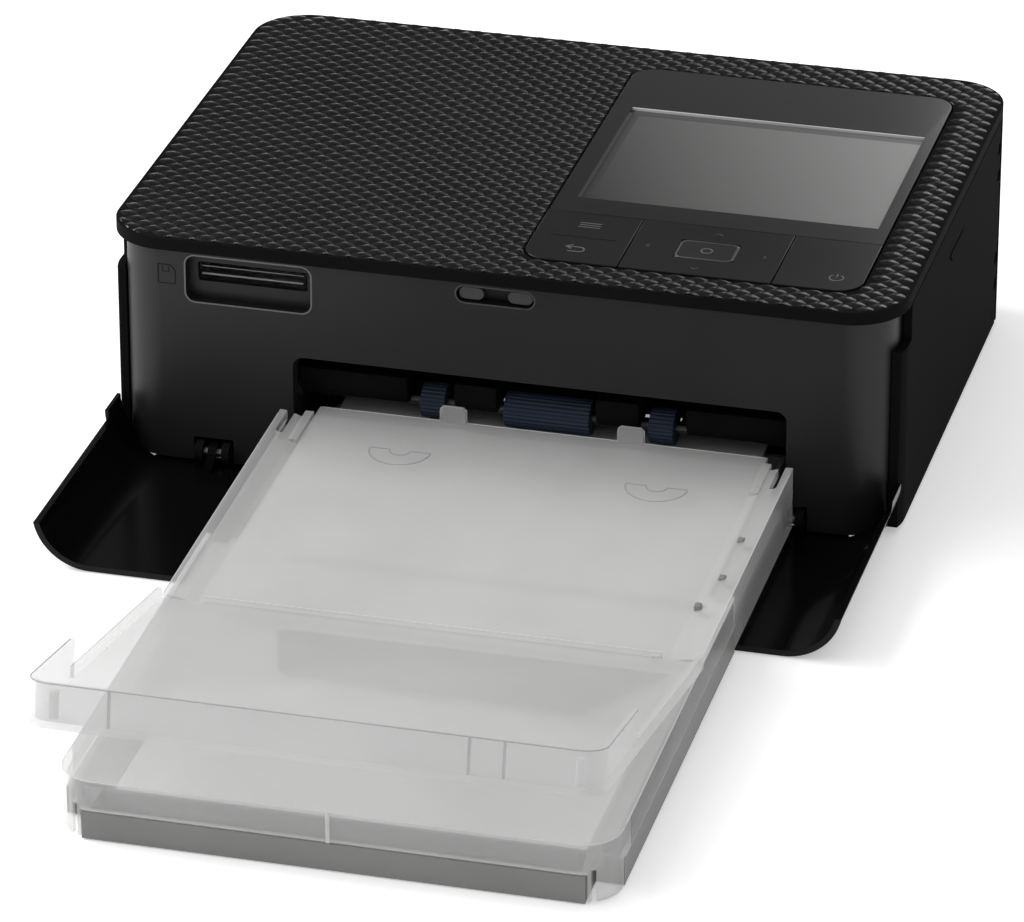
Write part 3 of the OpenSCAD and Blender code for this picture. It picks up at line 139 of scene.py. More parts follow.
class GroupKit:
    """Shared surface effects, each built once as a shader node group."""

    def __init__(self) -> None:
        """Builds the groups that the finishes place in their materials."""
        self.grain = self._moulded_grain()
        self.tone = self._tone_drift()
        self.brushed = self._brushed_lines()

    @staticmethod
    def _sockets(name: str, inputs: dict[str, float], outputs: Sequence[str]) -> tuple:
        """Makes an empty group whose sockets are all floats.

        Args:
            name: name of the group.
            inputs: input names with their starting values.
            outputs: output names.

        Returns:
            The group, its input node and its output node.
        """
        group = bpy.data.node_groups.new(name, "ShaderNodeTree")
        for key, value in inputs.items():
            socket = group.interface.new_socket(name=key, in_out="INPUT", socket_type="NodeSocketFloat")
            socket.default_value = value
        for key in outputs:
            group.interface.new_socket(name=key, in_out="OUTPUT", socket_type="NodeSocketFloat")
        return group, group.nodes.new("NodeGroupInput"), group.nodes.new("NodeGroupOutput")

    def _moulded_grain(self) -> bpy.types.NodeTree:
        """Fine spark-eroded texture of moulded plastic.

        Returns:
            A group with a height that changes over the surface.
        """
        group, enter, leave = self._sockets("MouldedGrain", {"Scale": 1800.0, "Depth": 0.5}, ("Height",))
        place = group.nodes.new("ShaderNodeTexCoord")
        noise = group.nodes.new("ShaderNodeTexNoise")
        noise.inputs["Detail"].default_value = 3.0
        noise.inputs["Roughness"].default_value = 0.55
        cells = group.nodes.new("ShaderNodeTexVoronoi")
        cells.feature = "SMOOTH_F1"
        for texture in (noise, cells):
            group.links.new(place.outputs["Object"], texture.inputs["Vector"])
            group.links.new(enter.outputs["Scale"], texture.inputs["Scale"])
        both = math_node(group, "MULTIPLY", noise.outputs["Fac"], cells.outputs["Distance"])
        group.links.new(math_node(group, "MULTIPLY", both, enter.outputs["Depth"]), leave.inputs["Height"])
        return group

    def _tone_drift(self) -> bpy.types.NodeTree:
        """Slow drift of tone and gloss from handling and moulding.

        Returns:
            A group with a factor for the colour and a roughness.
        """
        group, enter, leave = self._sockets(
            "ToneDrift", {"Scale": 25.0, "Roughness": 0.4, "Spread": 0.08}, ("Factor", "Roughness")
        )
        place = group.nodes.new("ShaderNodeTexCoord")
        cloud = group.nodes.new("ShaderNodeTexNoise")
        cloud.inputs["Detail"].default_value = 4.0
        group.links.new(place.outputs["Object"], cloud.inputs["Vector"])
        group.links.new(enter.outputs["Scale"], cloud.inputs["Scale"])
        around = math_node(group, "SUBTRACT", cloud.outputs["Fac"], 0.5)
        rough = math_node(group, "MULTIPLY_ADD", around, enter.outputs["Spread"], enter.outputs["Roughness"])
        group.links.new(cloud.outputs["Fac"], leave.inputs["Factor"])
        group.links.new(rough, leave.inputs["Roughness"])
        return group

    def _brushed_lines(self) -> bpy.types.NodeTree:
        """Rolling lines of sheet metal and turned shafts.

        Returns:
            A group with a height that changes over the surface.
        """
        group, enter, leave = self._sockets("BrushedLines", {"Scale": 900.0, "Depth": 0.3}, ("Height",))
        place = group.nodes.new("ShaderNodeTexCoord")
        stretch = group.nodes.new("ShaderNodeMapping")
        stretch.inputs["Scale"].default_value = (1.0, 0.04, 1.0)
        lines = group.nodes.new("ShaderNodeTexNoise")
        lines.inputs["Detail"].default_value = 2.0
        group.links.new(place.outputs["Object"], stretch.inputs["Vector"])
        group.links.new(stretch.outputs[0], lines.inputs["Vector"])
        group.links.new(enter.outputs["Scale"], lines.inputs["Scale"])
        depth = math_node(group, "MULTIPLY", lines.outputs["Fac"], enter.outputs["Depth"])
        group.links.new(depth, leave.inputs["Height"])
        return group


# ---------- finishes ----------


RAMP_START = 0.3  # share of the tone's range at which the dark tone ends
RAMP_END = 0.7  # share at which the light tone starts
RELIEF_DEPTH = 0.00004  # metres
RELIEF_STRENGTH = 0.5
COAT_ROUGHNESS = 0.06
STEEP = 0.3  # upward share of a normal below which a clear part shows its side's alpha
LEVEL = 0.9  # upward share above which it shows its flat alpha
LIGHT_THROUGH = 0.72  # share of a clear part's alpha that lamps don't meet


class Texture(Enum):
    """Which shared effect gives a finish its fine relief."""

    GRAIN = "grain"
    BRUSHED = "brushed"


@dataclass(frozen=True)
class Finish:
    """One finish: its two tones, its gloss, its fine relief and, where set, a painted reflection that sweeps
    between its tones.
    """

    name: str
    dark: Point3
    light: Point3
    roughness: float
    spread: float = 0.08
    metallic: float = 0.0
    specular: float = 0.5
    coat: float = 0.0
    alpha: float = 1.0
    flat_alpha: float | None = None
    texture: Texture = Texture.GRAIN
    scale: float = 1800.0
    depth: float = 0.15
    drift: float = 30.0
    # ends of a painted reflection: the colour runs from the dark tone to the light one between these two
    # points
    painted_reflection: tuple[Point2, Point2] | None = None

    def build(self, kit: GroupKit) -> bpy.types.Material:
        """Builds the material.

        Args:
            kit: the shared node groups.

        Returns:
            A node material.
        """
        material = bpy.data.materials.new(self.name)
        material.use_nodes = True
        nodes, links = material.node_tree.nodes, material.node_tree.links
        shader = nodes["Principled BSDF"]
        tone = nodes.new("ShaderNodeGroup")
        tone.node_tree = kit.tone
        tone.inputs["Scale"].default_value = self.drift
        tone.inputs["Roughness"].default_value = self.roughness
        tone.inputs["Spread"].default_value = self.spread
        relief = nodes.new("ShaderNodeGroup")
        relief.node_tree = kit.grain if self.texture is Texture.GRAIN else kit.brushed
        relief.inputs["Scale"].default_value = self.scale
        relief.inputs["Depth"].default_value = self.depth
        ramp = nodes.new("ShaderNodeValToRGB")
        ramp.color_ramp.elements[0].position = RAMP_START
        ramp.color_ramp.elements[1].position = RAMP_END
        ramp.color_ramp.elements[0].color = (*self.dark, 1.0)
        ramp.color_ramp.elements[1].color = (*self.light, 1.0)
        links.new(self._factor(material, tone), ramp.inputs["Fac"])
        bump = nodes.new("ShaderNodeBump")
        bump.inputs["Distance"].default_value = RELIEF_DEPTH
        bump.inputs["Strength"].default_value = RELIEF_STRENGTH
        links.new(ramp.outputs["Color"], shader.inputs["Base Color"])
        links.new(tone.outputs["Roughness"], shader.inputs["Roughness"])
        links.new(relief.outputs["Height"], bump.inputs["Height"])
        links.new(bump.outputs["Normal"], shader.inputs["Normal"])
        shader.inputs["Metallic"].default_value = self.metallic
        shader.inputs["Specular IOR Level"].default_value = self.specular
        shader.inputs["Coat Weight"].default_value = self.coat
        shader.inputs["Coat Roughness"].default_value = COAT_ROUGHNESS
        shader.inputs["Alpha"].default_value = self.alpha
        if self.flat_alpha is not None:
            links.new(self._flat_alpha(material), shader.inputs["Alpha"])
        return material

    def _flat_alpha(self, material: bpy.types.Material) -> bpy.types.NodeSocket:
        """Alpha that is higher on level faces, and lower for light on its way through.

        Args:
            material: the material that is being built.

        Returns:
            The socket that drives the alpha.
        """
        tree = material.node_tree
        place = tree.nodes.new("ShaderNodeTexCoord")
        split = tree.nodes.new("ShaderNodeSeparateXYZ")
        blend = tree.nodes.new("ShaderNodeMapRange")
        blend.interpolation_type = "SMOOTHSTEP"
        for socket, value in (
            ("From Min", STEEP), ("From Max", LEVEL), ("To Min", self.alpha), ("To Max", self.flat_alpha),
        ):
            blend.inputs[socket].default_value = value
        path = tree.nodes.new("ShaderNodeLightPath")
        tree.links.new(place.outputs["Normal"], split.inputs[0])
        tree.links.new(math_node(tree, "ABSOLUTE", split.outputs["Z"]), blend.inputs["Value"])
        veil = math_node(tree, "MULTIPLY_ADD", path.outputs["Is Shadow Ray"], -LIGHT_THROUGH, 1.0)
        return math_node(tree, "MULTIPLY", blend.outputs["Result"], veil)

    def _factor(self, material: bpy.types.Material, tone: bpy.types.Node) -> bpy.types.NodeSocket:
        """Mix factor between the dark and the light tone; where a painted reflection is set, a sweep between
        them across the surface.

        Args:
            material: the material that is being built.
            tone: its tone group node.

        Returns:
            The socket that drives the colour ramp.
        """
        if self.painted_reflection is None:
            return tone.outputs["Factor"]
        tree = material.node_tree
        (x0, y0), (x1, y1) = self.painted_reflection
        run = (x1 - x0) ** 2 + (y1 - y0) ** 2
        place = tree.nodes.new("ShaderNodeTexCoord")
        along = tree.nodes.new("ShaderNodeVectorMath")
        along.operation = "DOT_PRODUCT"
        along.inputs[1].default_value = ((x1 - x0) / run / MM, (y1 - y0) / run / MM, 0.0)
        tree.links.new(place.outputs["Object"], along.inputs[0])
        start = (x0 * (x1 - x0) + (y0 + BASE_SHIFT) * (y1 - y0)) / run
        shift = math_node(tree, "SUBTRACT", along.outputs["Value"], start)
        return math_node(tree, "MULTIPLY_ADD", shift, RAMP_END - RAMP_START, RAMP_START, clamp=True)


def grey(value: float, warm: float = 0.0) -> Point3:
    """A grey with a slight warm or cool cast."""
    return (value * (1 + warm), value, value * (1 - warm))


FINISHES: tuple[Finish, ...] = (
    Finish("case_satin", grey(0.011), grey(0.016), 0.44, specular=0.32, depth=0.5, scale=2600.0),
    # shaded_satin is the case's plastic painted darker and duller than case_satin: painted shade for the
    # sides, rear, underside and shaft blocks
    Finish("shaded_satin", grey(0.006), grey(0.009), 0.85, specular=0.03, depth=0.5, scale=2600.0),
    Finish("cover_grain", grey(0.005), grey(0.008), 0.24, specular=0.45, depth=0.2, scale=3200.0),
    Finish("cover_base", grey(0.006), grey(0.009), 0.8, specular=0.04, depth=0.4, scale=2600.0),
    Finish("cover_gloss", grey(0.0018), grey(0.003), 0.2, 0.04, specular=0.16, depth=0.05),
    Finish("rim_gloss", grey(0.016), grey(0.026), 0.25, 0.04, specular=0.9, coat=0.3, depth=0.02),
    # key_rim_highlight: grey far lighter than the keys, painted as the highlight on the confirm key's rounded
    # rim
    Finish("key_rim_highlight", grey(0.05), grey(0.09), 0.18, 0.03, specular=0.8, coat=0.5, depth=0.02),
    # pad_gloss, picture and picture_edge run from dark to light across the display: a painted reflection
    Finish("pad_gloss", grey(0.008), grey(0.034), 0.16, 0.03, specular=0.45, coat=0.1, depth=0.02,
           painted_reflection=((8.0, -25.0), (84.0, 52.0))),
    Finish("key_gloss", grey(0.007), grey(0.010), 0.22, 0.04, specular=0.3, depth=0.02),
    Finish("ok_gloss", grey(0.006), grey(0.009), 0.15, 0.03, specular=0.6, coat=0.3, depth=0.02),
    Finish("picture", grey(0.034, 0.01), grey(0.25, 0.01), 0.22, 0.03, specular=0.4, coat=0.1, depth=0.01,
           painted_reflection=((10.0, -22.0), (82.0, 12.0))),
    Finish("picture_edge", grey(0.03, 0.01), grey(0.14, 0.01), 0.2, 0.03, specular=0.4, coat=0.1,
           depth=0.01, painted_reflection=((8.0, -22.0), (82.0, 20.0))),
    # glass_edge_highlight is pale grey on a black panel: a painted highlight along the display opening's far
    # edge
    Finish("glass_edge_highlight", grey(0.42), grey(0.62), 0.2, 0.04, depth=0.02),
    Finish("legend", grey(0.09), grey(0.13), 0.45, depth=0.1),
    Finish("legend_dim", grey(0.035), grey(0.05), 0.45, depth=0.1),
    Finish("engraving", grey(0.0025), grey(0.004), 0.6, specular=0.15, depth=0.2),
    Finish("sheet_steel", grey(0.52), grey(0.62), 0.34, metallic=1.0, texture=Texture.BRUSHED),
    # shaft_steel is steel painted much darker than sheet_steel: painted shade for the feed shaft deep in the
    # paper opening; the other nodes given it share that tone
    Finish("shaft_steel", grey(0.10), grey(0.18), 0.34, metallic=1.0, texture=Texture.BRUSHED),
    Finish("alloy_can", (0.50, 0.51, 0.53), (0.62, 0.63, 0.65), 0.38, metallic=1.0, texture=Texture.BRUSHED),
    Finish("roller_rubber", (0.014, 0.022, 0.045), (0.022, 0.034, 0.066), 0.55, specular=0.4, depth=0.6),
    Finish("black_rubber", grey(0.014), grey(0.024), 0.75, specular=0.3, depth=0.6, scale=1400.0),
    # clear_milky and clear_lid are one clear plastic; clear_lid is painted lighter to make up for the shade
    # the flap casts on the lid
    Finish("clear_milky", grey(0.68, 0.004), grey(0.74, 0.004), 0.3, 0.06, specular=0.4, alpha=0.3,
           flat_alpha=0.46, depth=0.12, scale=1500.0),
    Finish("clear_lid", grey(0.78, 0.004), grey(0.84, 0.004), 0.3, 0.06, specular=0.4, alpha=0.3,
           flat_alpha=0.46, depth=0.12, scale=1500.0),
    # clear_painted_shade is the clear plastic painted darker and more opaque: painted shade on the lip's
    # edge, its ribs and the half-moon outlines
    Finish("clear_painted_shade", grey(0.46), grey(0.54), 0.25, 0.04, specular=0.4, alpha=0.6, depth=0.05),
    Finish("clear_shade", grey(0.26), grey(0.34), 0.35, 0.04, specular=0.3, alpha=0.3, depth=0.05),
    # painted_lid_shade: dark grey plate painted as the shade under the deck's step, seen through the flap
    Finish("painted_lid_shade", grey(0.30), grey(0.36), 0.35, 0.04, specular=0.3, alpha=0.8, depth=0.05),
    # clear_painted_highlight is the clear plastic painted nearly white: painted highlights on edges, the
    # lip's nubs and the lid's post
    Finish("clear_painted_highlight", grey(0.84), grey(0.90), 0.2, 0.04, specular=0.5, alpha=0.5, depth=0.05),
    Finish("tray_grey", grey(0.23, 0.01), grey(0.27, 0.01), 0.5, specular=0.4, depth=0.5),
    Finish("lobe_grey", grey(0.03), grey(0.045), 0.3, specular=0.6, coat=0.2, depth=0.2),
    Finish("paper_white", grey(0.74), grey(0.80), 0.7, specular=0.2, depth=0.3),
    Finish("board_mask", (0.012, 0.075, 0.04), (0.02, 0.11, 0.06), 0.4, specular=0.4, drift=400.0),
    Finish("gear_acetal", (0.66, 0.65, 0.60), (0.74, 0.73, 0.68), 0.42, depth=0.2),
    Finish("head_ceramic", (0.55, 0.50, 0.38), (0.66, 0.61, 0.49), 0.2, depth=0.05),
    Finish("ribbon_dark", (0.05, 0.025, 0.08), (0.10, 0.05, 0.15), 0.25, texture=Texture.BRUSHED),
    Finish("ribbon_shell", grey(0.02), grey(0.03), 0.5, depth=0.5),
    Finish("cable_film", (0.46, 0.33, 0.13), (0.58, 0.43, 0.20), 0.4, texture=Texture.BRUSHED),
)


class Palette:
    """All materials by their finish name."""

    def __init__(self, kit: GroupKit) -> None:
        """Builds every finish once.

        Args:
            kit: the shared node groups.
        """
        self._made = {finish.name: finish.build(kit) for finish in FINISHES}

    def __getitem__(self, name: str) -> bpy.types.Material:
        """The material of that finish."""
        return self._made[name]


# ---------- mesh helpers ----------


def place(point: Sequence[float]) -> Vector:
    """Turns printer millimetres into frame metres."""
    return Vector((point[0] * MM, (point[1] + BASE_SHIFT) * MM, point[2] * MM))


def cassette_place(point: Sequence[float]) -> Point3:
    """Turns a place in the cassette's own frame into printer millimetres.

    Args:
        point: across from its middle, back from its front and up from its underside.

    Returns:
        The place in the printer's frame.
    """
    u, v, w = point
    c, s = math.cos(CASSETTE_TILT), math.sin(CASSETTE_TILT)
    return (CASSETTE_X + u, CASSETTE_FRONT + v * c - w * s, 0.3 + v * s + w * c)


def flap_place(point: Sequence[float]) -> Point3:
    """Turns a place in the flap's own frame at rest into printer millimetres.

    Args:
        point: across from its middle, out from its crease and up from its inner face.

    Returns:
        The place in the printer's frame.
    """
    u, along, over = point
    c, s = math.cos(FLAP_TILT), math.sin(FLAP_TILT)
    return cassette_place((u, FLAP_CREASE - along * c + over * s, FLAP_LEVEL + along * s + over * c))


def round_rect(cx: float, cy: float, w: float, d: float, r: float, steps: int = 10) -> list[Point2]:
    """Outline of a rectangle with round corners, counter-clockwise.

    Args:
        cx: middle across.
        cy: middle in depth.
        w: width.
        d: depth.
        r: corner radius.
        steps: segments of each corner.

    Returns:
        The outline's points.
    """
    points: list[Point2] = []
    for sx, sy, start in ((1, -1, -90), (1, 1, 0), (-1, 1, 90), (-1, -1, 180)):
        ox, oy = cx + sx * (w / 2 - r), cy + sy * (d / 2 - r)
        for i in range(steps + 1):
            a = math.radians(start + 90 * i / steps)
            points.append((ox + r * math.cos(a), oy + r * math.sin(a)))
    return points


def inset(points: Sequence[Point2], distance: float) -> list[Point2]:
    """Moves a counter-clockwise outline inwards.

    Args:
        points: the outline.
        distance: how far each side moves.

    Returns:
        As many points as the outline has.
    """
    moved: list[Point2] = []
    count = len(points)
    for i, (x, y) in enumerate(points):
        ax, ay = points[i - 1]
        bx, by = points[(i + 1) % count]
        n1 = Vector((-(y - ay), x - ax)).normalized()
        n2 = Vector((-(by - y), bx - x)).normalized()
        n = (n1 + n2).normalized()
        k = distance / max(0.5, n.dot(n1))
        moved.append((x + n.x * k, y + n.y * k))
    return moved


class Maker:
    """Turns meshes into dressed pieces and logs them."""

    def __init__(self, palette: Palette) -> None:
        """Keeps the palette.

        Args:
            palette: the finished materials.
        """
        self.palette = palette
        self.count = 0

    def piece(
        self,
        name: str,
        mesh: bpy.types.Mesh,
        body: Body,
        slot: Slot,
        finish: str,
        replaces: Iterable[str] = (),
        smooth: float = 35.0,
        even: bool = False,
    ) -> bpy.types.Object:
        """Links a mesh as a piece that rides on a body.

        Args:
            name: the piece's name.
            mesh: its mesh in frame metres.
            body: the body it moves with.
            slot: the record's material slot; not used.
            finish: the name of its finish.
            replaces: CAD nodes it stands for.
            smooth: angle up to which neighbouring faces shade smooth.
            even: whether large faces keep their own flat shading.

        Returns:
            The new object.
        """
        obj = bpy.data.objects.new(name, mesh)
        bpy.context.scene.collection.objects.link(obj)
        mesh.materials.clear()
        mesh.materials.append(self.palette[finish])
        mesh.set_sharp_from_angle(angle=math.radians(smooth))
        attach(obj, body.value)
        nodes = list(replaces)
        if nodes:
            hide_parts(*nodes)
        if even:
            normals = obj.modifiers.new("even_normals", "WEIGHTED_NORMAL")
            normals.keep_sharp = True
        self.count += 1
        LOG.info("piece %s on %s with %s", name, body.value, finish)
        return obj

    def _from_lists(self, name: str, points: list[Point3], faces: list[Face]) -> bpy.types.Mesh:
        """Makes a mesh from printer millimetres.

        Args:
            name: the mesh's name.
            points: its points in millimetres.
            faces: its faces.

        Returns:
            A mesh in frame metres with outward normals.
        """
        mesh = bpy.data.meshes.new(name)
        mesh.from_pydata([place(p) for p in points], [], faces)
        work = bmesh.new()
        work.from_mesh(mesh)
        bmesh.ops.recalc_face_normals(work, faces=work.faces)
        work.to_mesh(mesh)
        work.free()
        for face in mesh.polygons:
            face.use_smooth = True
        return mesh

    def shape(
        self,
        name: str,
        shape: Shape,
        body: Body,
        slot: Slot,
        finish: str,
        replaces: Iterable[str] = (),
        smooth: float = 35.0,
        even: bool = False,
    ) -> bpy.types.Object:
        """Makes a piece from points in printer millimetres and their faces.

        Args:
            name: the piece's name.
            shape: its points and faces.
            body: the body it moves with.
            slot: the record's material slot.
            finish: the name of its finish.
            replaces: CAD nodes it stands for.
            smooth: angle up to which neighbouring faces shade smooth.
            even: whether large faces keep their own flat shading.

        Returns:
            The new object.
        """
        mesh = self._from_lists(name + "_mesh", *shape)
        return self.piece(name, mesh, body, slot, finish, replaces, smooth, even)

    def soften(
        self,
        node: str,
        body: Body,
        slot: Slot,
        finish: str,
        width: float = 0.3,
        segments: int = 2,
        angle: float = 32.0,
    ) -> bpy.types.Object:
        """Stands a copy of a CAD node with rounded edges in its place.

        Args:
            node: the CAD node.
            body: the body it moves with.
            slot: the record's material slot.
            finish: the name of its finish.
            width: size of the rounding in millimetres.
            segments: steps of the rounding.
            angle: edges sharper than this many degrees are rounded.

        Returns:
            The new object.
        """
        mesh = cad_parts[node].data.copy()
        mesh.name = node + "_soft"
        work = bmesh.new()
        work.from_mesh(mesh)
        bmesh.ops.remove_doubles(work, verts=work.verts, dist=2e-6)
        bmesh.ops.dissolve_limit(
            work, angle_limit=math.radians(0.6), verts=work.verts, edges=work.edges, delimit={"NORMAL"}
        )
        sharp = [
            e for e in work.edges
            if len(e.link_faces) == 2 and e.calc_face_angle(0.0) > math.radians(angle)
        ]
        bmesh.ops.bevel(
            work, geom=sharp, offset=width * MM, offset_type="OFFSET", segments=segments,
            profile=0.5, affect="EDGES", clamp_overlap=True,
        )
        work.to_mesh(mesh)
        work.free()
        for face in mesh.polygons:
            face.use_smooth = True
        return self.piece(node + "_dressed", mesh, body, slot, finish, (node,), 30.0, True)

    def plate(
        self,
        outline: Sequence[Point2],
        z0: float,
        z1: float,
        rounding: float,
        hole: Sequence[Point2] | None = None,
        segments: int = 4,
    ) -> Shape:
        """Flat plate with a rounded upper edge, and with a hole if one is given.

        Args:
            outline: counter-clockwise outline.
            z0: height of its underside.
            z1: height of its top.
            rounding: radius of the upper outer edge.
            hole: outline of a hole through it, with as many points as the outline.
            segments: steps of the rounding.

        Returns:
            Points and faces.
        """
        rings: list[list[Point3]] = [[(x, y, z0) for x, y in outline]]
        for i in range(segments + 1):
            a = math.pi / 2 * i / segments
            step = rounding * (1 - math.cos(a))
            z = z1 - rounding + rounding * math.sin(a)
            rings.append([(x, y, z) for x, y in (inset(outline, step) if step > 1e-6 else outline)])
        if hole is not None:
            rings.append([(x, y, z1) for x, y in hole])
            rings.append([(x, y, z0) for x, y in hole])
        points = [p for ring in rings for p in ring]
        n = len(outline)
        faces: list[Face] = []
        bands = len(rings) if hole is not None else len(rings) - 1
        for k in range(bands):
            a0, b0 = k * n, ((k + 1) % len(rings)) * n
            for i in range(n):
                j = (i + 1) % n
                faces.append((a0 + i, a0 + j, b0 + j, b0 + i))
        if hole is None:
            faces.append(tuple(range(n - 1, -1, -1)))
            faces.append(tuple(range((len(rings) - 1) * n, len(rings) * n)))
        return points, faces

    def ribbon(
        self,
        path: Sequence[Point2],
        width: float,
        z: float,
        rise: float,
        closed: bool = False,
        to_point: Callable[[float, float, float], Point3] | None = None,
    ) -> Shape:
        """Thin raised line along a path, for symbols.

        Args:
            path: points of the line's middle.
            width: width of the line.
            z: level of the surface.
            rise: height of the line over the surface.
            closed: whether the line closes on itself.
            to_point: turns x, y and level into printer millimetres.

        Returns:
            Points and faces.
        """
        put = to_point or (lambda x, y, level: (x, y, level))
        count = len(path)
        points: list[Point3] = []
        faces: list[Face] = []
        for i, (x, y) in enumerate(path):
            before = path[i - 1] if (i or closed) else path[i]
            after = path[(i + 1) % count] if (i < count - 1 or closed) else path[i]
            t = Vector((after[0] - before[0], after[1] - before[1])).normalized()
            nx, ny = -t.y * width / 2, t.x * width / 2
            for sx, level in ((1.0, z), (0.8, z + rise), (-0.8, z + rise), (-1.0, z)):
                points.append(put(x + nx * sx, y + ny * sx, level))
        for i in range(count if closed else count - 1):
            a, b = i * 4, ((i + 1) % count) * 4
            for k in range(4):
                m = (k + 1) % 4
                faces.append((a + k, b + k, b + m, a + m))
        if not closed:
            faces.append((0, 1, 2, 3))
            e = (count - 1) * 4
            faces.append((e + 3, e + 2, e + 1, e))
        return points, faces


def join(parts: Iterable[Shape]) -> Shape:
    """Puts several shapes into one.

    Args:
        parts: their points and faces.

    Returns:
        The points and faces of all of them.
    """
    points: list[Point3] = []
    faces: list[Face] = []
    for some, rows in parts:
        base = len(points)
        points.extend(some)
        faces.extend(tuple(i + base for i in row) for row in rows)
    return points, faces


def tube(path: Sequence[Point3], radius: float, sides: int = 6) -> Shape:
    """Thin round line along a path in space, closed at both ends.

    Args:
        path: points of its middle, none of them straight above its neighbour.
        radius: its radius.
        sides: sides of its section.

    Returns:
        Points and faces.
    """
    points: list[Point3] = []
    faces: list[Face] = []
    last = len(path) - 1
    for i, spot in enumerate(path):
        before, after = Vector(path[max(i - 1, 0)]), Vector(path[min(i + 1, last)])
        along = (after - before).normalized()
        across = along.cross(Vector((0.0, 0.0, 1.0))).normalized()
        over = across.cross(along)
        for k in range(sides):
            a = 2 * math.pi * k / sides
            points.append(tuple(Vector(spot) + (across * math.cos(a) + over * math.sin(a)) * radius))
    for i in range(last):
        for k in range(sides):
            j = (k + 1) % sides
            faces.append((i * sides + k, i * sides + j, (i + 1) * sides + j, (i + 1) * sides + k))
    faces.append(tuple(range(sides)))
    faces.append(tuple(range((last + 1) * sides - 1, last * sides - 1, -1)))
    return points, faces


def lay(shape: Shape, to_point: Callable[[Point3], Point3]) -> Shape:
    """Moves a shape's points into another frame."""
    return [to_point(p) for p in shape[0]], shape[1]


def arc(cx: float, cy: float, r: float, a0: float, a1: float, steps: int) -> list[Point2]:
    """Points of an arc.

    Args:
        cx: middle across.
        cy: middle in depth.
        r: radius.
        a0: first angle in degrees.
        a1: last angle in degrees.
        steps: segments of the arc.

    Returns:
        Its points from the first angle to the last.
    """
    return [
        (cx + r * math.cos(math.radians(a0 + (a1 - a0) * i / steps)),
         cy + r * math.sin(math.radians(a0 + (a1 - a0) * i / steps)))
        for i in range(steps + 1)
    ]


# ---------- the case ----------


@dataclass
class TopCover:
    """Top cover: a smooth rounded rim round a field of moulded diamond bumps."""

    rim_round: float = 0.45
    bead_inset: float = 0.2
    bead_r: float = 0.16
    margin: float = 0.55
    pad_gap: float = 0.5
    pitch_x: float = 5.19
    pitch_y: float = 4.25
    half_x: float = 2.4
    half_y: float = 1.96
    rise: float = 0.39
    lean: float = 0.28
    squareness: float = 1.2
    rings: tuple[Point2, ...] = ((1.0, -0.03), (0.8, 0.24), (0.5, 0.62), (0.22, 0.92))
    pad: tuple[float, float, float, float, float] = (41.55, -1.15, 76.9, 110.5, 5.8)
    steps: int = 12

    def build(self, maker: Maker) -> None:
        """Makes the cover, its grain and the polished bead along its right edge.

        Args:
            maker: turns shapes into dressed pieces.
        """
        maker.soften("top_cover", Body.ROOT, Slot.CASE, "cover_base", self.rim_round, 4, 50.0)
        maker.shape("cover_grain", self._grain(), Body.ROOT, Slot.CASE, "cover_grain", smooth=50.0)
        side, rear, r = (size - self.bead_inset for size in (BODY_W / 2, BODY_D / 2, BODY_R))
        edge = [*arc(side - r, -rear + r, r, -30, 0, 4), *arc(side - r, rear - r, r, 0, 60, 8)]
        bead = tube([(x, y, COVER_TOP - self.bead_inset) for x, y in edge], self.bead_r, 8)
        maker.shape("cover_bead", bead, Body.ROOT, Slot.CASE, "rim_gloss", smooth=60.0)

    def _allowed(self, x: float, y: float) -> bool:
        """Whether a point lies on the grained field.

        Args:
            x: its place across.
            y: its place in depth.

        Returns:
            True on the field.
        """
        cx, cy, w, d, r = self.pad
        gap = self.pad_gap
        if self._inside(x - cx, y - cy, w + 2 * gap, d + 2 * gap, r + gap):
            return False
        return self._inside(x, y, BODY_W - 2 * self.margin, BODY_D - 2 * self.margin, BODY_R - self.margin)

    @staticmethod
    def _inside(x: float, y: float, w: float, d: float, r: float) -> bool:
        """Whether a point lies in a centred rectangle with round corners."""
        qx, qy = abs(x) - (w / 2 - r), abs(y) - (d / 2 - r)
        return math.hypot(max(qx, 0.0), max(qy, 0.0)) + min(max(qx, qy), 0.0) <= r

    def _bump(self, cx: float, cy: float) -> Shape:
        """One bump with its crest leaning to the front.

        Args:
            cx: its middle across.
            cy: its middle in depth.

        Returns:
            Points and faces.
        """
        points: list[Point3] = []
        faces: list[Face] = []
        n = self.steps
        p = self.squareness
        for share, height in self.rings:
            for i in range(n):
                a = 2 * math.pi * i / n
                c, s = math.cos(a), math.sin(a)
                k = (abs(c) ** p + abs(s) ** p) ** (-1 / p)
                px = cx + self.half_x * share * k * c
                py = cy + self.half_y * share * k * s - self.lean * (1 - share)
                t = 1.0
                while t > 0.05 and not self._allowed(cx + (px - cx) * t, cy + (py - cy) * t):
                    t -= 0.1
                px, py = cx + (px - cx) * t, cy + (py - cy) * t
                points.append((px, py, COVER_TOP + self.rise * height * (t if height > 0 else 1)))
        points.append((cx, cy - self.lean, COVER_TOP + self.rise))
        last = len(self.rings) - 1
        for k in range(last):
            for i in range(n):
                j = (i + 1) % n
                faces.append((k * n + i, k * n + j, (k + 1) * n + j, (k + 1) * n + i))
        for i in range(n):
            faces.append((last * n + i, last * n + (i + 1) % n, (last + 1) * n))
        return points, faces

    def _grain(self) -> Shape:
        """All bumps of the field.

        Returns:
            Points and faces.
        """
        bumps = []
        rows = int(BODY_D / self.pitch_y) + 2
        columns = int(BODY_W / self.pitch_x) + 2
        for half in (0, 1):
            for i in range(-columns // 2 - 1, columns // 2 + 2):
                for j in range(-rows // 2 - 1, rows // 2 + 2):
                    x = (i + half / 2) * self.pitch_x
                    y = (j + half / 2) * self.pitch_y
                    if self._allowed(x, y):
                        bumps.append(self._bump(x, y))
        return join(bumps)


def on_front(x: float, z: float, level: float) -> Point3:
    """Puts a point on the front panel, with a level that counts outwards."""
    return (x, FACE_Y - level, z)


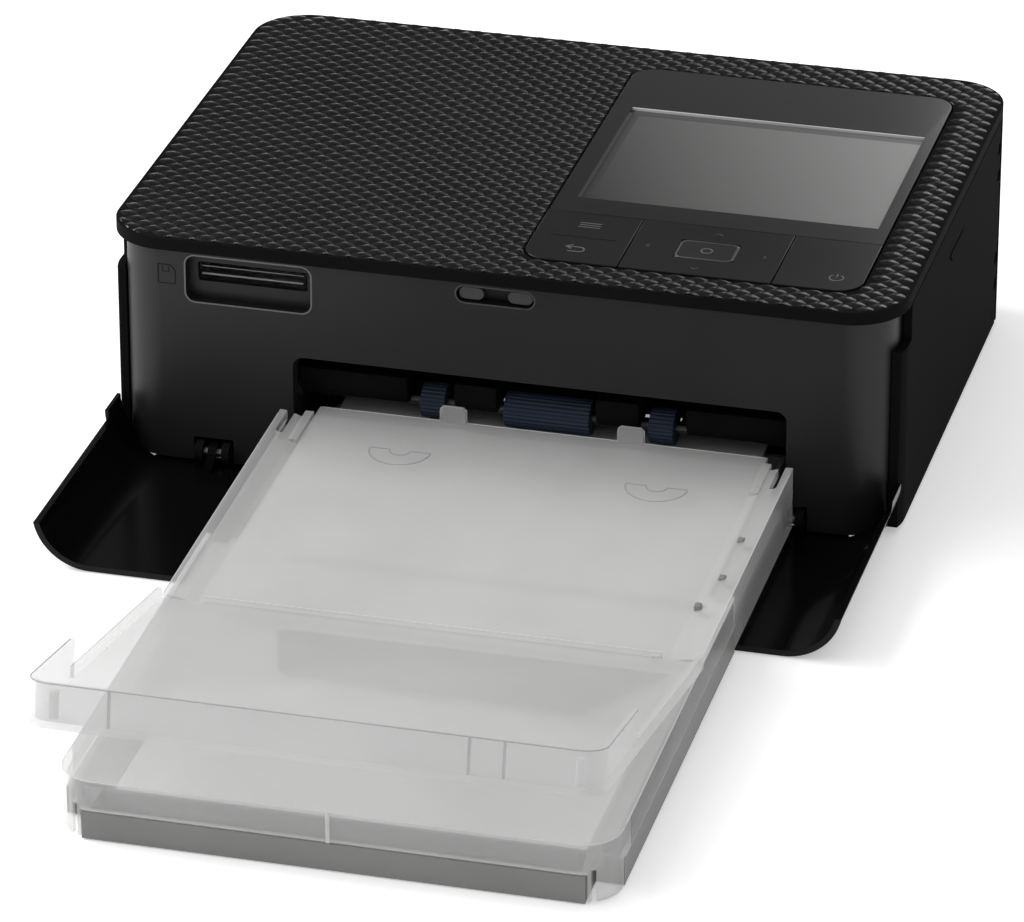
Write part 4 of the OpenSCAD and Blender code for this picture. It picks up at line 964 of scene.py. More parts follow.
@dataclass
class CasePanels:
    """Front, side and rear panels, bottom case and ink door with rounded edges."""

    icon: Point2 = (-76.7, 47.4)
    icon_half: Point2 = (2.0, 2.3)
    card_recess: tuple[float, float, float, float, float] = (-57.7, 46.9, 29.5, 11.5, 2.4)
    catch_recess: tuple[float, float, float, float, float] = (-0.5, 50.5, 18.2, 4.2, 2.09)
    rim_sink: float = -0.02
    rim_rise: float = 0.06
    card_slot: Point2 = (-57.4, 47.6)
    slot_half: float = 11.8
    slot_y: float = -61.0
    slot_bars: tuple[Point2, ...] = ((-0.5, 0.32), (1.35, 0.16))

    def build(self, maker: Maker) -> None:
        """Makes the panels, their marks and the edges of their recesses.

        Args:
            maker: turns shapes into dressed pieces.
        """
        # Side, rear and bottom panels and the ink door take the darker copy of the front's plastic: painted
        # shade.
        for node, body, finish, width, segments in (
            ("front_panel", Body.ROOT, "case_satin", 0.35, 3),
            ("left_side_panel", Body.ROOT, "shaded_satin", 0.4, 3),
            ("rear_panel", Body.ROOT, "shaded_satin", 0.3, 2),
            ("bottom_case", Body.ROOT, "shaded_satin", 0.25, 2),
            ("ink_door", Body.INK_DOOR, "shaded_satin", 0.4, 3),
        ):
            maker.soften(node, body, Slot.CASE, finish, width, segments, 40.0)
        self._card_symbol(maker)
        self._recess_rims(maker)
        self._door_mark(maker)

    def _card_symbol(self, maker: Maker) -> None:
        """Engraved outline of a memory card beside its slot.

        Args:
            maker: turns shapes into dressed pieces.
        """
        (x, z), (half_w, half_h) = self.icon, self.icon_half
        x0, x1, z0, z1 = x - half_w, x + half_w, z - half_h, z + half_h
        outer = [(x0, z0), (x1, z0), (x1, z1 - 1.2), (x1 - 1.2, z1), (x0, z1)]
        inner = [(x0 + 1.1, z1 - 0.4), (x0 + 1.1, z1 - 1.7), (x1 - 1.5, z1 - 1.7), (x1 - 1.5, z1 - 0.6)]
        lines = join((
            maker.ribbon(outer, 0.3, 0.0, 0.03, True, on_front),
            maker.ribbon(inner, 0.25, 0.0, 0.03, False, on_front),
        ))
        maker.shape("card_symbol", lines, Body.ROOT, Slot.CASE, "engraving")

    def _recess_rims(self, maker: Maker) -> None:
        """Polished rims of the two recesses in the front and the slot's steel edges.

        Args:
            maker: turns shapes into dressed pieces.
        """
        rims = join(
            maker.ribbon(round_rect(*recess, steps), width, self.rim_sink, self.rim_rise, True, on_front)
            for recess, steps, width in ((self.card_recess, 8, 0.45), (self.catch_recess, 10, 0.4))
        )
        maker.shape("recess_rims", rims, Body.ROOT, Slot.CASE, "rim_gloss")
        (x, z), half, y = self.card_slot, self.slot_half, self.slot_y
        bars = join(tube([(x - half, y, z + dz), (x + half, y, z + dz)], r, 8) for dz, r in self.slot_bars)
        maker.shape("card_slot_edges", bars, Body.ROOT, Slot.STEEL, "alloy_can")

    def _door_mark(self, maker: Maker) -> None:
        """Faint raised arrow on the ink door, where it is pressed.

        Args:
            maker: turns shapes into dressed pieces.
        """

        def side(y: float, z: float, level: float) -> Point3:
            """Puts a point of the mark on the ink door."""
            return (BODY_W / 2 + level - 0.02, y, z)

        arrow = join((
            maker.ribbon([(-8.0, 46.0), (8.0, 46.0)], 0.7, 0.0, 0.02, False, side),
            maker.ribbon([(-4.5, 48.6), (-8.4, 46.0), (-4.5, 43.4)], 0.7, 0.0, 0.02, False, side),
        ))
        maker.shape("door_mark", arrow, Body.INK_DOOR, Slot.CASE, "engraving")


@dataclass
class ControlPanel:
    """Display window, picture and the four keys with their generic symbols."""

    window_z: float = 57.52
    window_low: float = 55.6
    sunk: float = 0.75
    opening: tuple[float, float, float, float] = (7.4, 77.5, -22.0, 31.0)
    picture: tuple[float, float, float, float] = (10.0, 77.1, -21.6, 27.6)
    frame_outer: tuple[float, float, float, float, float] = (41.55, -1.15, 76.9, 110.5, 5.8)
    window_y0: float = -30.18
    key_y1: float = -30.42
    menu_x1: float = 25.175
    nav_x0: float = 25.425
    nav_x1: float = 60.075
    power_x0: float = 60.325
    key_top: float = 57.57
    key_low: float = 56.1
    ok: tuple[float, float, float, float] = (42.75, -43.35, 14.3, 10.3)
    menu_bars: tuple[float, ...] = (-35.5, -36.6, -37.7)
    arrows: tuple[tuple[float, float, int, int], ...] = (
        (43.6, -34.2, 0, 1), (42.1, -53.0, 0, -1), (29.4, -43.6, -1, 0), (56.0, -43.6, 1, 0),
    )
    arrow_half: float = 0.75
    arrow_reach: float = 0.35
    power: Point2 = (73.6, -49.9)

    def build(self, maker: Maker) -> None:
        """Makes the window, the picture and the keys.

        Args:
            maker: turns shapes into dressed pieces.
        """
        self._window(maker)
        self._keys(maker)
        self._symbols(maker)

    @staticmethod
    def _pane(limits: Sequence[float], grow: float, r: float) -> list[Point2]:
        """Outline of a pane from its left, right, near and far limits, made larger by a length."""
        x0, x1, y0, y1 = limits
        return round_rect((x0 + x1) / 2, (y0 + y1) / 2, x1 - x0 + grow, y1 - y0 + grow, r, 3)

    def _window(self, maker: Maker) -> None:
        """Glossy window round the sunken picture.

        Args:
            maker: turns shapes into dressed pieces.
        """
        outline = self._cut(self.window_y0, 60.0)
        hole = self._match(outline, self._pane(self.opening, 0.0, 0.3))
        window = maker.plate(outline, self.window_low, self.window_z, 0.25, hole)
        maker.shape(
            "display_window_dressed", window, Body.ROOT, Slot.GLOSS, "pad_gloss",
            ("display_window",), 40.0, True,
        )
        deep = self.window_z - self.sunk
        edge = maker.plate(self._pane(self.opening, 0.4, 0.3), deep - 0.4, deep, 0.05)
        maker.shape("picture_edge", edge, Body.ROOT, Slot.SCREEN, "picture_edge", even=True)
        # The screen is off; its sweep from dark to light is a painted reflection.
        screen_plate = maker.plate(self._pane(self.picture, 0.0, 0.4), deep - 0.2, deep + 0.06, 0.05)
        maker.shape("picture", screen_plate, Body.ROOT, Slot.SCREEN, "picture", even=True)
        # Pale bar along the opening's far edge: painted highlight.
        x0, x1, _, y1 = self.opening
        line = round_rect((x0 + x1) / 2, y1 - 0.22, x1 - x0 - 0.3, 0.5, 0.2, 3)
        bar = maker.plate(line, deep - 0.2, self.window_z - 0.1, 0.15)
        maker.shape("glass_edge_highlight", bar, Body.ROOT, Slot.SCREEN, "glass_edge_highlight")

    def _cut(self, y_low: float, y_high: float, x_low: float = -200.0, x_high: float = 200.0) -> list[Point2]:
        """Part of the panel's outline between limits.

        Args:
            y_low: nearest depth.
            y_high: furthest depth.
            x_low: left limit.
            x_high: right limit.

        Returns:
            A counter-clockwise outline.
        """
        outline = round_rect(*self.frame_outer, 8)
        for axis, limit, keep in ((1, y_low, 1), (1, y_high, -1), (0, x_low, 1), (0, x_high, -1)):
            clipped: list[Point2] = []
            for i, q in enumerate(outline):
                p = outline[i - 1]
                inside_p, inside_q = keep * (p[axis] - limit) >= 0, keep * (q[axis] - limit) >= 0
                if inside_p != inside_q:
                    t = (limit - p[axis]) / (q[axis] - p[axis])
                    clipped.append((p[0] + (q[0] - p[0]) * t, p[1] + (q[1] - p[1]) * t))
                if inside_q:
                    clipped.append(q)
            outline = clipped
        return outline

    @staticmethod
    def _match(outline: Sequence[Point2], hole: Sequence[Point2]) -> list[Point2]:
        """Gives a hole as many points as an outline, each opposite its partner.

        Args:
            outline: the outer outline.
            hole: the hole's outline.

        Returns:
            Points on the hole's outline.
        """
        cx = sum(p[0] for p in hole) / len(hole)
        cy = sum(p[1] for p in hole) / len(hole)
        found: list[Point2] = []
        for x, y in outline:
            heading = math.atan2(y - cy, x - cx)
            found.append(min(hole, key=lambda p: _turn(math.atan2(p[1] - cy, p[0] - cx), heading)))
        return found

    def _keys(self, maker: Maker) -> None:
        """The four keys with rounded edges, and a lighter ring painted as the highlight on the confirm key's
        rim.

        Args:
            maker: turns shapes into dressed pieces.
        """
        x, y, w, d = self.ok
        across = self._cut(-60.0, self.key_y1, self.nav_x0, self.nav_x1)
        hole = self._match(across, round_rect(x, y, w + 0.5, d + 0.5, 2.25, 6))
        for node, outline, body, gap in (
            ("menu_key", self._cut(-60.0, self.key_y1, x_high=self.menu_x1), Body.MENU, None),
            ("power_key", self._cut(-60.0, self.key_y1, x_low=self.power_x0), Body.POWER, None),
            ("navigation_key", across, Body.NAVIGATION, hole),
        ):
            key = maker.plate(outline, self.key_low, self.key_top, 0.22, gap)
            maker.shape(node + "_dressed", key, body, Slot.GLOSS, "key_gloss", (node,), 40.0, True)
        crown = maker.plate(round_rect(x, y, w, d, 2.0, 8), self.key_low, self.key_top, 0.75, segments=6)
        maker.shape("ok_key_dressed", crown, Body.CONFIRM, Slot.GLOSS, "ok_gloss", ("ok_key",), 40.0, True)
        # Lighter ring on the confirm key: painted highlight on its rim.
        ring = maker.ribbon(round_rect(x, y, w - 1.5, d - 1.5, 1.6, 8), 0.5, self.key_top - 0.04, 0.05, True)
        maker.shape("ok_rim_highlight", ring, Body.CONFIRM, Slot.GLOSS, "key_rim_highlight")

    def _symbols(self, maker: Maker) -> None:
        """Generic symbols on the keys.

        Args:
            maker: turns shapes into dressed pieces.
        """
        z, up = self.key_top - 0.01, 0.04
        hook = [(12.2, -48.5), (15.0, -48.5), *arc(15.0, -49.7, 1.2, 90, -90, 10), (12.6, -50.9)]
        menu = [maker.ribbon([(11.9, y), (16.9, y)], 0.34, z, up) for y in self.menu_bars]
        menu.append(maker.ribbon(hook, 0.4, z, up))
        menu.append(maker.ribbon([(13.2, -47.4), (11.8, -48.5), (13.2, -49.6)], 0.4, z, up))
        line = maker.ribbon([(6.9, -43.25), (21.8, -43.25)], 0.35, z, up)
        ring = maker.ribbon(arc(*self.ok[:2], 1.25, 0, 330, 22), 0.38, z, up, True)
        arrows = []
        half, reach = self.arrow_half, self.arrow_reach
        for cx, cy, ax, ay in self.arrows:
            tips = [
                (cx - ax * reach - ay * half, cy - ay * reach - ax * half),
                (cx + ax * reach, cy + ay * reach),
                (cx - ax * reach + ay * half, cy - ay * reach + ax * half),
            ]
            arrows.append(maker.ribbon(tips, 0.36, z, up))
        px, py = self.power
        power = (
            maker.ribbon(arc(px, py, 1.55, 125, 415, 26), 0.36, z, up),
            maker.ribbon([(px, -49.7), (px, -47.9)], 0.36, z, up),
        )
        for name, shape, body, finish in (
            ("menu_symbols", join(menu), Body.MENU, "legend"),
            ("menu_line", line, Body.MENU, "engraving"),
            ("confirm_symbol", ring, Body.CONFIRM, "legend"),
            ("arrow_symbols", join(arrows), Body.NAVIGATION, "legend_dim"),
            ("power_symbol", join(power), Body.POWER, "legend"),
        ):
            maker.shape(name, shape, body, Slot.GLOSS, finish)


def _turn(a: float, b: float) -> float:
    """Smallest angle between two directions."""
    return abs(math.atan2(math.sin(a - b), math.cos(a - b)))


@dataclass
class FrontCover:
    """Open front cover with its glossy face and rounded edges."""

    low: float = 0.2
    thick: float = 0.8
    gap: float = 0.12
    wall_r: float = 10.7
    side_y: float = -58.5
    case_low: float = 1.3
    tuck_y: float = -61.0
    front_y: float = -67.8

    def build(self, maker: Maker) -> None:
        """Makes the cover and the thin lip that its rear edge slips under the case with.

        Args:
            maker: turns shapes into dressed pieces.
        """
        maker.soften("front_cover", Body.FRONT_COVER, Slot.GLOSS, "cover_gloss", 0.45, 3, 40.0)
        # The lip also closes the gap under the case's front: a dark piece standing in for the shade in that
        # gap.
        maker.shape("cover_lip", self._lip(), Body.FRONT_COVER, Slot.GLOSS, "cover_gloss", smooth=40.0)

    def _lip(self) -> Shape:
        """Thin lip that follows the cover's section and the case's round corners.

        Returns:
            Points and faces.
        """
        corner = BODY_W / 2 - BODY_R
        turns = [*arc(-corner, self.low + BODY_R, BODY_R, 180, 270, 14),
                 *arc(corner, self.low + BODY_R, BODY_R, 270, 360, 14)]
        points: list[Point3] = []
        for x, z in turns:
            side = math.copysign(1.0, x)
            out = max(0.0, abs(x) - corner)
            share = 1 - self.thick / BODY_R
            inner_x = side * (corner + out * share)
            inner_z = self.low + BODY_R + (z - self.low - BODY_R) * share
            reach = math.sqrt(max(0.0, self.wall_r ** 2 - out ** 2))
            wall = min(FRONT_Y + BODY_R - reach - self.gap, self.side_y)
            rear = self.tuck_y if inner_z < self.case_low else wall
            points.extend([(x, self.front_y, z), (x, rear, z)])
            points.extend([(inner_x, rear, inner_z), (inner_x, self.front_y, inner_z)])
        count = len(turns)
        faces: list[Face] = [(0, 1, 2, 3), tuple(4 * (count - 1) + k for k in (3, 2, 1, 0))]
        for i in range(count - 1):
            for k in range(4):
                j = (k + 1) % 4
                faces.append((4 * i + k, 4 * i + j, 4 * i + 4 + j, 4 * i + 4 + k))
        return points, faces


@dataclass
class PaperFeed:
    """Rollers and bearing blocks seen through the paper opening."""

    shaft_y: float = -54.5
    shaft_z: float = 18.7
    blocks: tuple[Point2, ...] = ((-47.5, -22.5), (-11.5, -1.8), (21.2, 31.0), (42.0, 66.8))
    end_share: float = 0.93
    end_length: float = 0.4

    def build(self, maker: Maker) -> None:
        """Makes the rollers and the blocks between them.

        Args:
            maker: turns shapes into dressed pieces.
        """
        for node in ("feed_roller_middle", "feed_rollers_side"):
            maker.soften(node, Body.FEED, Slot.NAVY, "roller_rubber", width=0.12, segments=1, angle=60.0)
        self._blocks(maker)

    def _blocks(self, maker: Maker) -> None:
        """Black blocks that carry the shaft between the rollers.

        Args:
            maker: turns shapes into dressed pieces.
        """
        saddle = arc(0, 0, 1.9, 0, 180, 8)
        section = [(-4.2, 6.6), (4.0, 6.6), (4.0, 0.6), *saddle, (-3.0, 0.0), (-4.2, 2.4)]
        # The blocks also cover the shaft where it shows dark, standing in for the shade inside the opening.
        blocks = join(self._prism(section, x0, x1) for x0, x1 in self.blocks)
        maker.shape("shaft_blocks", blocks, Body.ROOT, Slot.CASE, "shaded_satin", smooth=30.0)

    def _prism(self, section: Sequence[Point2], x0: float, x1: float) -> Shape:
        """Prism across the printer with chamfered ends.

        Args:
            section: its section about the shaft's middle.
            x0: left end.
            x1: right end.

        Returns:
            Points and faces.
        """
        n = len(section)
        points: list[Point3] = []
        low, run = self.end_share, self.end_length
        for x, k in ((x0, low), (x0 + run, 1.0), (x1 - run, 1.0), (x1, low)):
            points.extend((x, self.shaft_y + y * k, self.shaft_z + z * k) for y, z in section)
        faces: list[Face] = [tuple(range(n)), tuple(range(4 * n - 1, 3 * n - 1, -1))]
        for s in range(3):
            for i in range(n):
                j = (i + 1) % n
                faces.append((s * n + i, s * n + j, (s + 1) * n + j, (s + 1) * n + i))
        return points, faces


@dataclass
class PaperCassette:
    """Grey base and the clear lid, deck and flap with their ribs and marks.

    Places are given across the cassette, back from its front and up from its underside, and
    those of the flap across it, out from its crease and up from its inner face.
    """

    embosses: tuple[Point2, ...] = ((-28.5, 156.0), (31.0, 153.0))
    deck_top: float = 13.6
    wall: float = 58.9
    wall_rims: tuple[Point3, ...] = ((77.0, 163.0, 15.55), (10.0, 107.0, 13.5), (10.0, 107.0, 6.3))
    rim_r: float = 0.14
    rear_rim: Point2 = (172.35, 13.5)
    deck_half: float = 51.0
    tabs: tuple[float, ...] = (-20.5, 20.5)
    tab_outline: tuple[Point2, ...] = (
        (-3.1, 13.55), (-2.95, 16.7), (-2.2, 17.35), (2.2, 17.35), (2.95, 16.7), (3.1, 13.55),
    )
    flap_wall: float = 59.7
    lip_top: float = 8.95
    lip_ribs: tuple[float, ...] = (-42.3, 32.2, 39.4)
    nub: float = 54.5
    post: float = -0.6
    dark_posts: tuple[tuple[float, float, float, float], ...] = (
        (-54.5, 4.6, 6.6, 11.6), (54.5, 4.6, 6.6, 11.6),
        (52.6, 100.5, 13.5, 15.0), (54.9, 113.5, 14.0, 15.2), (55.0, 131.0, 14.0, 15.2),
    )
    # Outline of a dark plate on the lid, painted as the shade beneath the deck's step.
    lid_shade_patch: tuple[Point2, ...] = (
        (-24.6, 52.2), (38.8, 50.5), (53.6, 72.0), (-30.0, 70.9), (-31.6, 69.6), (-26.9, 54.0),
    )
    sheet: Point2 = (100.0, 51.0)
    sheet_rise: float = 0.62
    sheets: tuple[Point2, ...] = ((0.0, 2.0), (0.15, 2.68), (-0.1, 3.36), (0.1, 4.04))

    def build(self, maker: Maker) -> None:
        """Makes the cassette's parts.

        Args:
            maker: turns shapes into dressed pieces.
        """
        # cassette_lid takes clear_lid, the clear plastic painted lighter against the flap's shade.
        for node, body, slot, finish, width in (
            ("cassette_base", Body.CASSETTE, Slot.GREY, "tray_grey", 0.3),
            ("cassette_lid", Body.CASSETTE, Slot.CLEAR, "clear_lid", 0.25),
            ("output_deck", Body.CASSETTE, Slot.CLEAR, "clear_milky", 0.25),
            ("output_flap", Body.FLAP, Slot.CLEAR, "clear_milky", 0.25),
        ):
            maker.soften(node, body, slot, finish, width, angle=40.0)
        self._half_moons(maker)
        self._edges(maker)
        self._posts(maker)
        self._shades(maker)

    def _half_moons(self, maker: Maker) -> None:
        """Half-moon finger marks embossed on the deck.

        Args:
            maker: turns shapes into dressed pieces.
        """
        hollow = arc(0, 0, 2.4, 0, -180, 6)
        outline = [*arc(0, 0, 7.0, 180, 360, 16), (3.2, 0.0), *hollow, (-3.2, 0.0)]
        marks = []
        for u, v in self.embosses:
            def deck(x: float, y: float, rise: float, u: float = u, v: float = v) -> Point3:
                """Puts a point of the mark on the deck."""
                return cassette_place((u + x, v + y, self.deck_top + rise))

            marks.append(maker.ribbon(outline, 0.35, 0.0, 0.1, True, deck))
        # The half-moons' raised outlines are painted darker: painted shade.
        maker.shape("deck_marks", join(marks), Body.CASSETTE, Slot.CLEAR, "clear_painted_shade")

    def _edges(self, maker: Maker) -> None:
        """Nearly white lines painted as highlights along the clear parts' edges, and a darker line painted as
        shade along the lip's upper edge.

        Args:
            maker: turns shapes into dressed pieces.
        """
        u, r = self.wall, self.rim_r
        lines: list[tuple[list[Point3], float]] = [
            ([(side * u, v0, w), (side * u, v1, w)], r) for side in (-1, 1) for v0, v1, w in self.wall_rims
        ]
        v, w = self.rear_rim
        tabs = [(tab + du, v, dw) for tab in self.tabs for du, dw in self.tab_outline]
        half = self.deck_half
        lines.append(([(-half, v, w), *tabs, (half, v, w)], 0.16))
        lines.append(([(-half, 78.0, 15.2), (half, 78.0, 15.2)], r))
        lines.append(([(u, v, w) for u, v in self._bow(self.wall, 0.1, 8.0, 9.0)], 0.12))
        # Nearly white tubes painted as the highlights along the clear edges.
        rims = join(lay(tube(path, radius), cassette_place) for path, radius in lines)
        maker.shape("clear_rims", rims, Body.CASSETTE, Slot.CLEAR, "clear_painted_highlight")
        u = self.flap_wall
        lip = [(u, FLAP_LENGTH - v, self.lip_top) for u, v in self._bow(u, 0.1, 5.0, 30.0)]
        # The lip's upper edge is painted darker: painted shade.
        edge = lay(tube(lip, 0.16), flap_place)
        maker.shape("lip_edge", edge, Body.FLAP, Slot.CLEAR, "clear_painted_shade")
        low = join(
            lay(tube([(side * u, 2.0, 2.75), (side * u, 61.0, 2.75)], 0.13), flap_place) for side in (-1, 1)
        )
        maker.shape("flap_rims", low, Body.FLAP, Slot.CLEAR, "clear_painted_highlight")

    @staticmethod
    def _bow(half: float, front: float, radius: float, back: float) -> list[Point2]:
        """Line round a front edge with round corners.

        Args:
            half: half its width.
            front: its front.
            radius: its corner radius.
            back: how far its ends reach back.

        Returns:
            Its points from left to right.
        """
        return [
            (-half, back),
            *arc(-half + radius, front + radius, radius, 180, 270, 8),
            *arc(half - radius, front + radius, radius, 270, 360, 8),
            (half, back),
        ]

    def _posts(self, maker: Maker) -> None:
        """Small ribs and nubs of the lip, the lid and the deck's walls.

        Args:
            maker: turns shapes into dressed pieces.
        """
        ribs = join(
            lay(maker.plate(round_rect(u, FLAP_LENGTH - 1.7, 0.6, 1.0, 0.2, 3), 0.6, 8.4, 0.2), flap_place)
            for u in self.lip_ribs
        )
        nubs = join(
            lay(maker.plate(round_rect(u, FLAP_LENGTH - 4.0, 1.8, 2.4, 0.6, 4), 0.6, 6.4, 0.4), flap_place)
            for u in (-self.nub, self.nub)
        )
        foot = round_rect(self.post, 0.05, 0.9, 0.6, 0.2, 4)
        post = lay(maker.plate(foot, 6.5, 13.6, 0.25), cassette_place)
        dark = join(
            lay(maker.plate(round_rect(u, v, 1.6, 2.0, 0.4, 4), w0, w1, 0.3), cassette_place)
            for u, v, w0, w1 in self.dark_posts
        )
        for name, shape, body, slot, finish in (
            ("lip_ribs", ribs, Body.FLAP, Slot.CLEAR, "clear_painted_shade"),
            # Nubs and post take the painted highlight.
            ("lip_nubs", nubs, Body.FLAP, Slot.CLEAR, "clear_painted_highlight"),
            ("lid_post", post, Body.CASSETTE, Slot.CLEAR, "clear_painted_highlight"),
            ("corner_posts", dark, Body.CASSETTE, Slot.GREY, "tray_grey"),
        ):
            maker.shape(name, shape, body, slot, finish)

    def _shades(self, maker: Maker) -> None:
        """Grey parts and paper that show through the clear ones, and dark plates painted as shade on the lid
        and the side walls.

        Args:
            maker: turns shapes into dressed pieces.
        """
        # The rear bar is a dark bar standing in for the shadow line under the deck's rear (painted shade);
        # the front bar is grey base showing through.
        bars = join((
            maker.plate(round_rect(-1.5, 10.6, 104.0, 1.2, 0.4, 4), 1.6, 5.9, 0.3),
            maker.plate(round_rect(6.0, 106.2, 92.0, 2.4, 0.8, 4), 9.0, 12.0, 0.5),
        ))
        # Dark translucent plate on the lid: painted shade beneath the deck's step.
        window = maker.plate(self.lid_shade_patch, 13.45, 13.66, 0.04)
        rise = self.sheet_rise
        sheets = join(
            maker.plate(round_rect(shift, 38.4 + shift, *self.sheet, 0.3, 2), low, low + rise, 0.08)
            for shift, low in self.sheets
        )
        # Grey plates just outside the side walls darken them: painted shade.
        walls = join(
            maker.plate(round_rect(side * 59.09, 60.0, 0.1, 92.0, 0.04, 2), 6.8, 13.1, 0.04)
            for side in (-1, 1)
        )
        for name, shape, slot, finish, even in (
            ("inner_bars", bars, Slot.GREY, "tray_grey", False),
            ("lid_shade_patch", window, Slot.CLEAR, "painted_lid_shade", True),
            ("paper_sheets", sheets, Slot.GEAR, "paper_white", True),
            ("wall_shades", walls, Slot.CLEAR, "clear_shade", False),
        ):
            maker.shape(name, lay(shape, cassette_place), Body.CASSETTE, slot, finish, even=even)


@dataclass
class Mechanism:
    """Finishes for the nodes inside the case and on its underside."""

    finishes: dict[str, str] = field(default_factory=lambda: {
        "ink_door_pins": "shaft_steel", "front_cover_pins": "sheet_steel", "rubber_feet": "black_rubber",
        "case_screws": "shaft_steel", "cover_catch": "lobe_grey", "lcd_module": "picture_edge",
        "display_cable": "cable_film", "key_mat": "black_rubber", "key_board": "board_mask",
        "card_reader": "sheet_steel", "main_board": "board_mask", "dc_inlet": "case_satin",
        "usb_port": "sheet_steel", "left_frame_plate": "sheet_steel", "right_frame_plate": "sheet_steel",
        "gear_plate": "sheet_steel", "frame_tie_bars": "shaft_steel", "feed_shaft": "shaft_steel",
        "shaft_bearings": "case_satin", "feed_gear": "gear_acetal", "idler_gear": "gear_acetal",
        "capstan_roller": "shaft_steel", "capstan_gear": "gear_acetal", "pinch_roller": "black_rubber",
        "platen_roller": "black_rubber", "feed_motor": "alloy_can", "feed_pinion": "gear_acetal",
        "ribbon_motor": "alloy_can", "ribbon_pinion": "gear_acetal", "ribbon_gear": "gear_acetal",
        "thermal_head": "head_ceramic", "heat_sink": "alloy_can", "head_arm": "sheet_steel",
        "paper_guide": "case_satin", "ink_cassette": "ribbon_shell", "supply_spool": "gear_acetal",
        "takeup_spool": "gear_acetal", "ribbon_roll": "ribbon_dark", "ribbon_film": "ribbon_dark",
        "lift_plate": "tray_grey",
    })
    spring_drop: float = 6.6

    def build(self, maker: Maker) -> None:
        """Gives each carried-over node its finish, and stands a softened lift spring with a mesh of its own
        in its place.

        Args:
            maker: turns shapes into dressed pieces.
        """
        for node, finish in self.finishes.items():
            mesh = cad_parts[node].data
            mesh.materials.clear()
            mesh.materials.append(maker.palette[finish])
            LOG.info("node %s with %s", node, finish)
        spring = maker.soften("lift_spring", Body.CASSETTE, Slot.STEEL, "shaft_steel", angle=179.0)
        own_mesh(spring)


# ---------- the studio ----------


@dataclass(frozen=True)
class Softbox:
    """A soft lamp: where it stands, what it points at, its size and its power in watts."""

    name: str
    spot: Point3
    aim: Point3
    size: Point2
    power: float

    def build(self) -> None:
        """Makes the lamp."""
        data = bpy.data.lights.new(self.name, "AREA")
        data.shape = "RECTANGLE"
        data.size, data.size_y = self.size
        data.energy = self.power
        lamp = bpy.data.objects.new(self.name, data)
        bpy.context.scene.collection.objects.link(lamp)
        lamp.location = self.spot
        lamp.rotation_euler = (Vector(self.aim) - Vector(self.spot)).to_track_quat("-Z", "Y").to_euler()


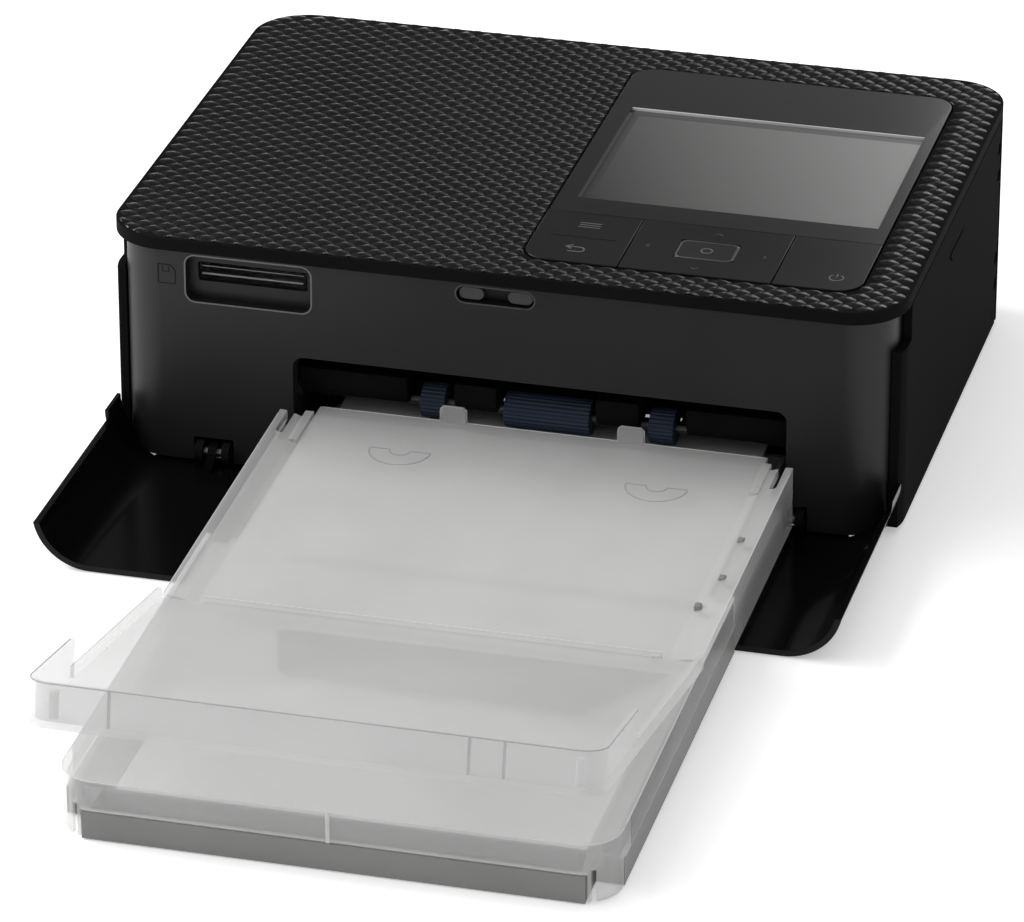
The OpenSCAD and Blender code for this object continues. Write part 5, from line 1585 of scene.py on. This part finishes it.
@dataclass
class Studio:
    """Floor, light and camera, in metres, with the lens in millimetres."""

    lens: float = 232.25
    place: Point3 = (0.33781, -1.255925, 0.67163)
    right: Point3 = (0.96764, 0.25233, 0.0)
    up: Point3 = (-0.11264, 0.43196, 0.89484)
    back: Point3 = (0.2258, -0.86587, 0.44641)
    sky: float = 0.62
    mirrored_sky: float = 0.16
    floor_half: float = 3.0
    floor_tone: float = 0.86
    floor_seen: float = 0.99
    floor_white: float = 0.34
    lamps: tuple[Softbox, ...] = (
        Softbox("softbox_side", (-1.05, 0.25, 0.85), (0.0, 0.05, 0.03), (0.6, 0.6), 8.5),
        Softbox("softbox_left", (-0.85, -0.35, 0.7), (0.0, 0.0, 0.0), (0.7, 0.7), 3.5),
        Softbox("strip_back", (-0.44, 1.1, 0.115), (0.0, 0.09, 0.057), (0.44, 0.11), 0.19),
        Softbox("strip_right", (0.067, 1.14, 0.186), (0.085, 0.1, 0.057), (0.26, 0.11), 0.15),
        Softbox("white_card", (0.12, 0.97, 0.5), (0.06, 0.09, 0.057), (0.4, 0.4), 0.65),
    )

    def build(self) -> None:
        """Makes the camera, the floor, the sky and the lamps."""
        self._camera()
        self._floor()
        self._sky()
        for lamp in self.lamps:
            lamp.build()
        bpy.context.scene.view_settings.view_transform = "Standard"

    def _camera(self) -> None:
        """Camera at the photograph's viewing angle."""
        data = bpy.data.cameras.new("view_camera")
        data.lens = self.lens
        data.sensor_width = 36.0
        data.sensor_fit = "HORIZONTAL"
        data.clip_end = 20.0
        camera = bpy.data.objects.new("view_camera", data)
        bpy.context.scene.collection.objects.link(camera)
        turn = Matrix((self.right, self.up, self.back)).transposed().to_4x4()
        camera.matrix_world = Matrix.Translation(self.place) @ turn
        bpy.context.scene.camera = camera

    def _floor(self) -> None:
        """Wide pale floor, whiter where it is seen directly or mirrored."""
        mesh = bpy.data.meshes.new("floor_mesh")
        r = self.floor_half
        mesh.from_pydata([(-r, -r, 0), (r, -r, 0), (r, r, 0), (-r, r, 0)], [], [(0, 1, 2, 3)])
        floor = bpy.data.objects.new("floor", mesh)
        bpy.context.scene.collection.objects.link(floor)
        material = bpy.data.materials.new("floor_paper")
        material.use_nodes = True
        shader = material.node_tree.nodes["Principled BSDF"]
        shader.inputs["Roughness"].default_value = 0.9
        shader.inputs["Specular IOR Level"].default_value = 0.1
        shader.inputs["Emission Color"].default_value = (1.0, 1.0, 1.0, 1.0)
        tree = material.node_tree
        seen = self._seen(tree, ("Is Camera Ray", "Is Glossy Ray", "Is Transmission Ray"))
        lift = math_node(tree, "MULTIPLY", seen, self.floor_white)
        tree.links.new(lift, shader.inputs["Emission Strength"])
        tone = tree.nodes.new("ShaderNodeMix")
        tone.data_type = "RGBA"
        sockets = [socket for socket in tone.inputs if socket.type == "RGBA"]
        sockets[0].default_value = (*grey(self.floor_tone), 1.0)
        sockets[1].default_value = (*grey(self.floor_seen), 1.0)
        tree.links.new(seen, tone.inputs["Factor"])
        tree.links.new(next(o for o in tone.outputs if o.type == "RGBA"), shader.inputs["Base Color"])
        mesh.materials.append(material)

    def _sky(self) -> None:
        """Even sky that is white where it is seen, and dimmer where it is mirrored."""
        world = bpy.data.worlds.new("studio_sky")
        bpy.context.scene.world = world
        world.use_nodes = True
        tree = world.node_tree
        back = tree.nodes["Background"]
        back.inputs["Color"].default_value = (1.0, 1.0, 1.0, 1.0)
        level = None
        for rays, strength in (
            (("Is Glossy Ray",), self.mirrored_sky), (("Is Camera Ray", "Is Transmission Ray"), 1.0),
        ):
            mix = tree.nodes.new("ShaderNodeMix")
            mix.data_type = "FLOAT"
            mix.inputs["A"].default_value = self.sky
            mix.inputs["B"].default_value = strength
            tree.links.new(self._seen(tree, rays), mix.inputs["Factor"])
            if level is not None:
                tree.links.new(level, mix.inputs["A"])
            level = mix.outputs["Result"]
        tree.links.new(level, back.inputs["Strength"])

    @staticmethod
    def _seen(tree: bpy.types.NodeTree, rays: Sequence[str]) -> bpy.types.NodeSocket:
        """Whether a surface is reached by one of some kinds of rays.

        Args:
            tree: the node tree.
            rays: names of the light path's outputs.

        Returns:
            A socket that is one for those rays and nought for others.
        """
        path = tree.nodes.new("ShaderNodeLightPath")
        found = path.outputs[rays[0]]
        for name in rays[1:]:
            found = math_node(tree, "MAXIMUM", found, path.outputs[name])
        return found


def main() -> None:
    """Builds the printer's pieces in order."""
    logging.basicConfig(level=logging.INFO, format="%(name)s: %(message)s")
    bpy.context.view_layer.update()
    maker = Maker(Palette(GroupKit()))
    for assembly in (
        TopCover(), CasePanels(), ControlPanel(), FrontCover(), PaperFeed(), PaperCassette(), Mechanism(),
    ):
        assembly.build(maker)
        LOG.info("%s done", type(assembly).__name__)
    Studio().build()
    LOG.info("%d pieces", maker.count)


if __name__ == "__main__":
    main()
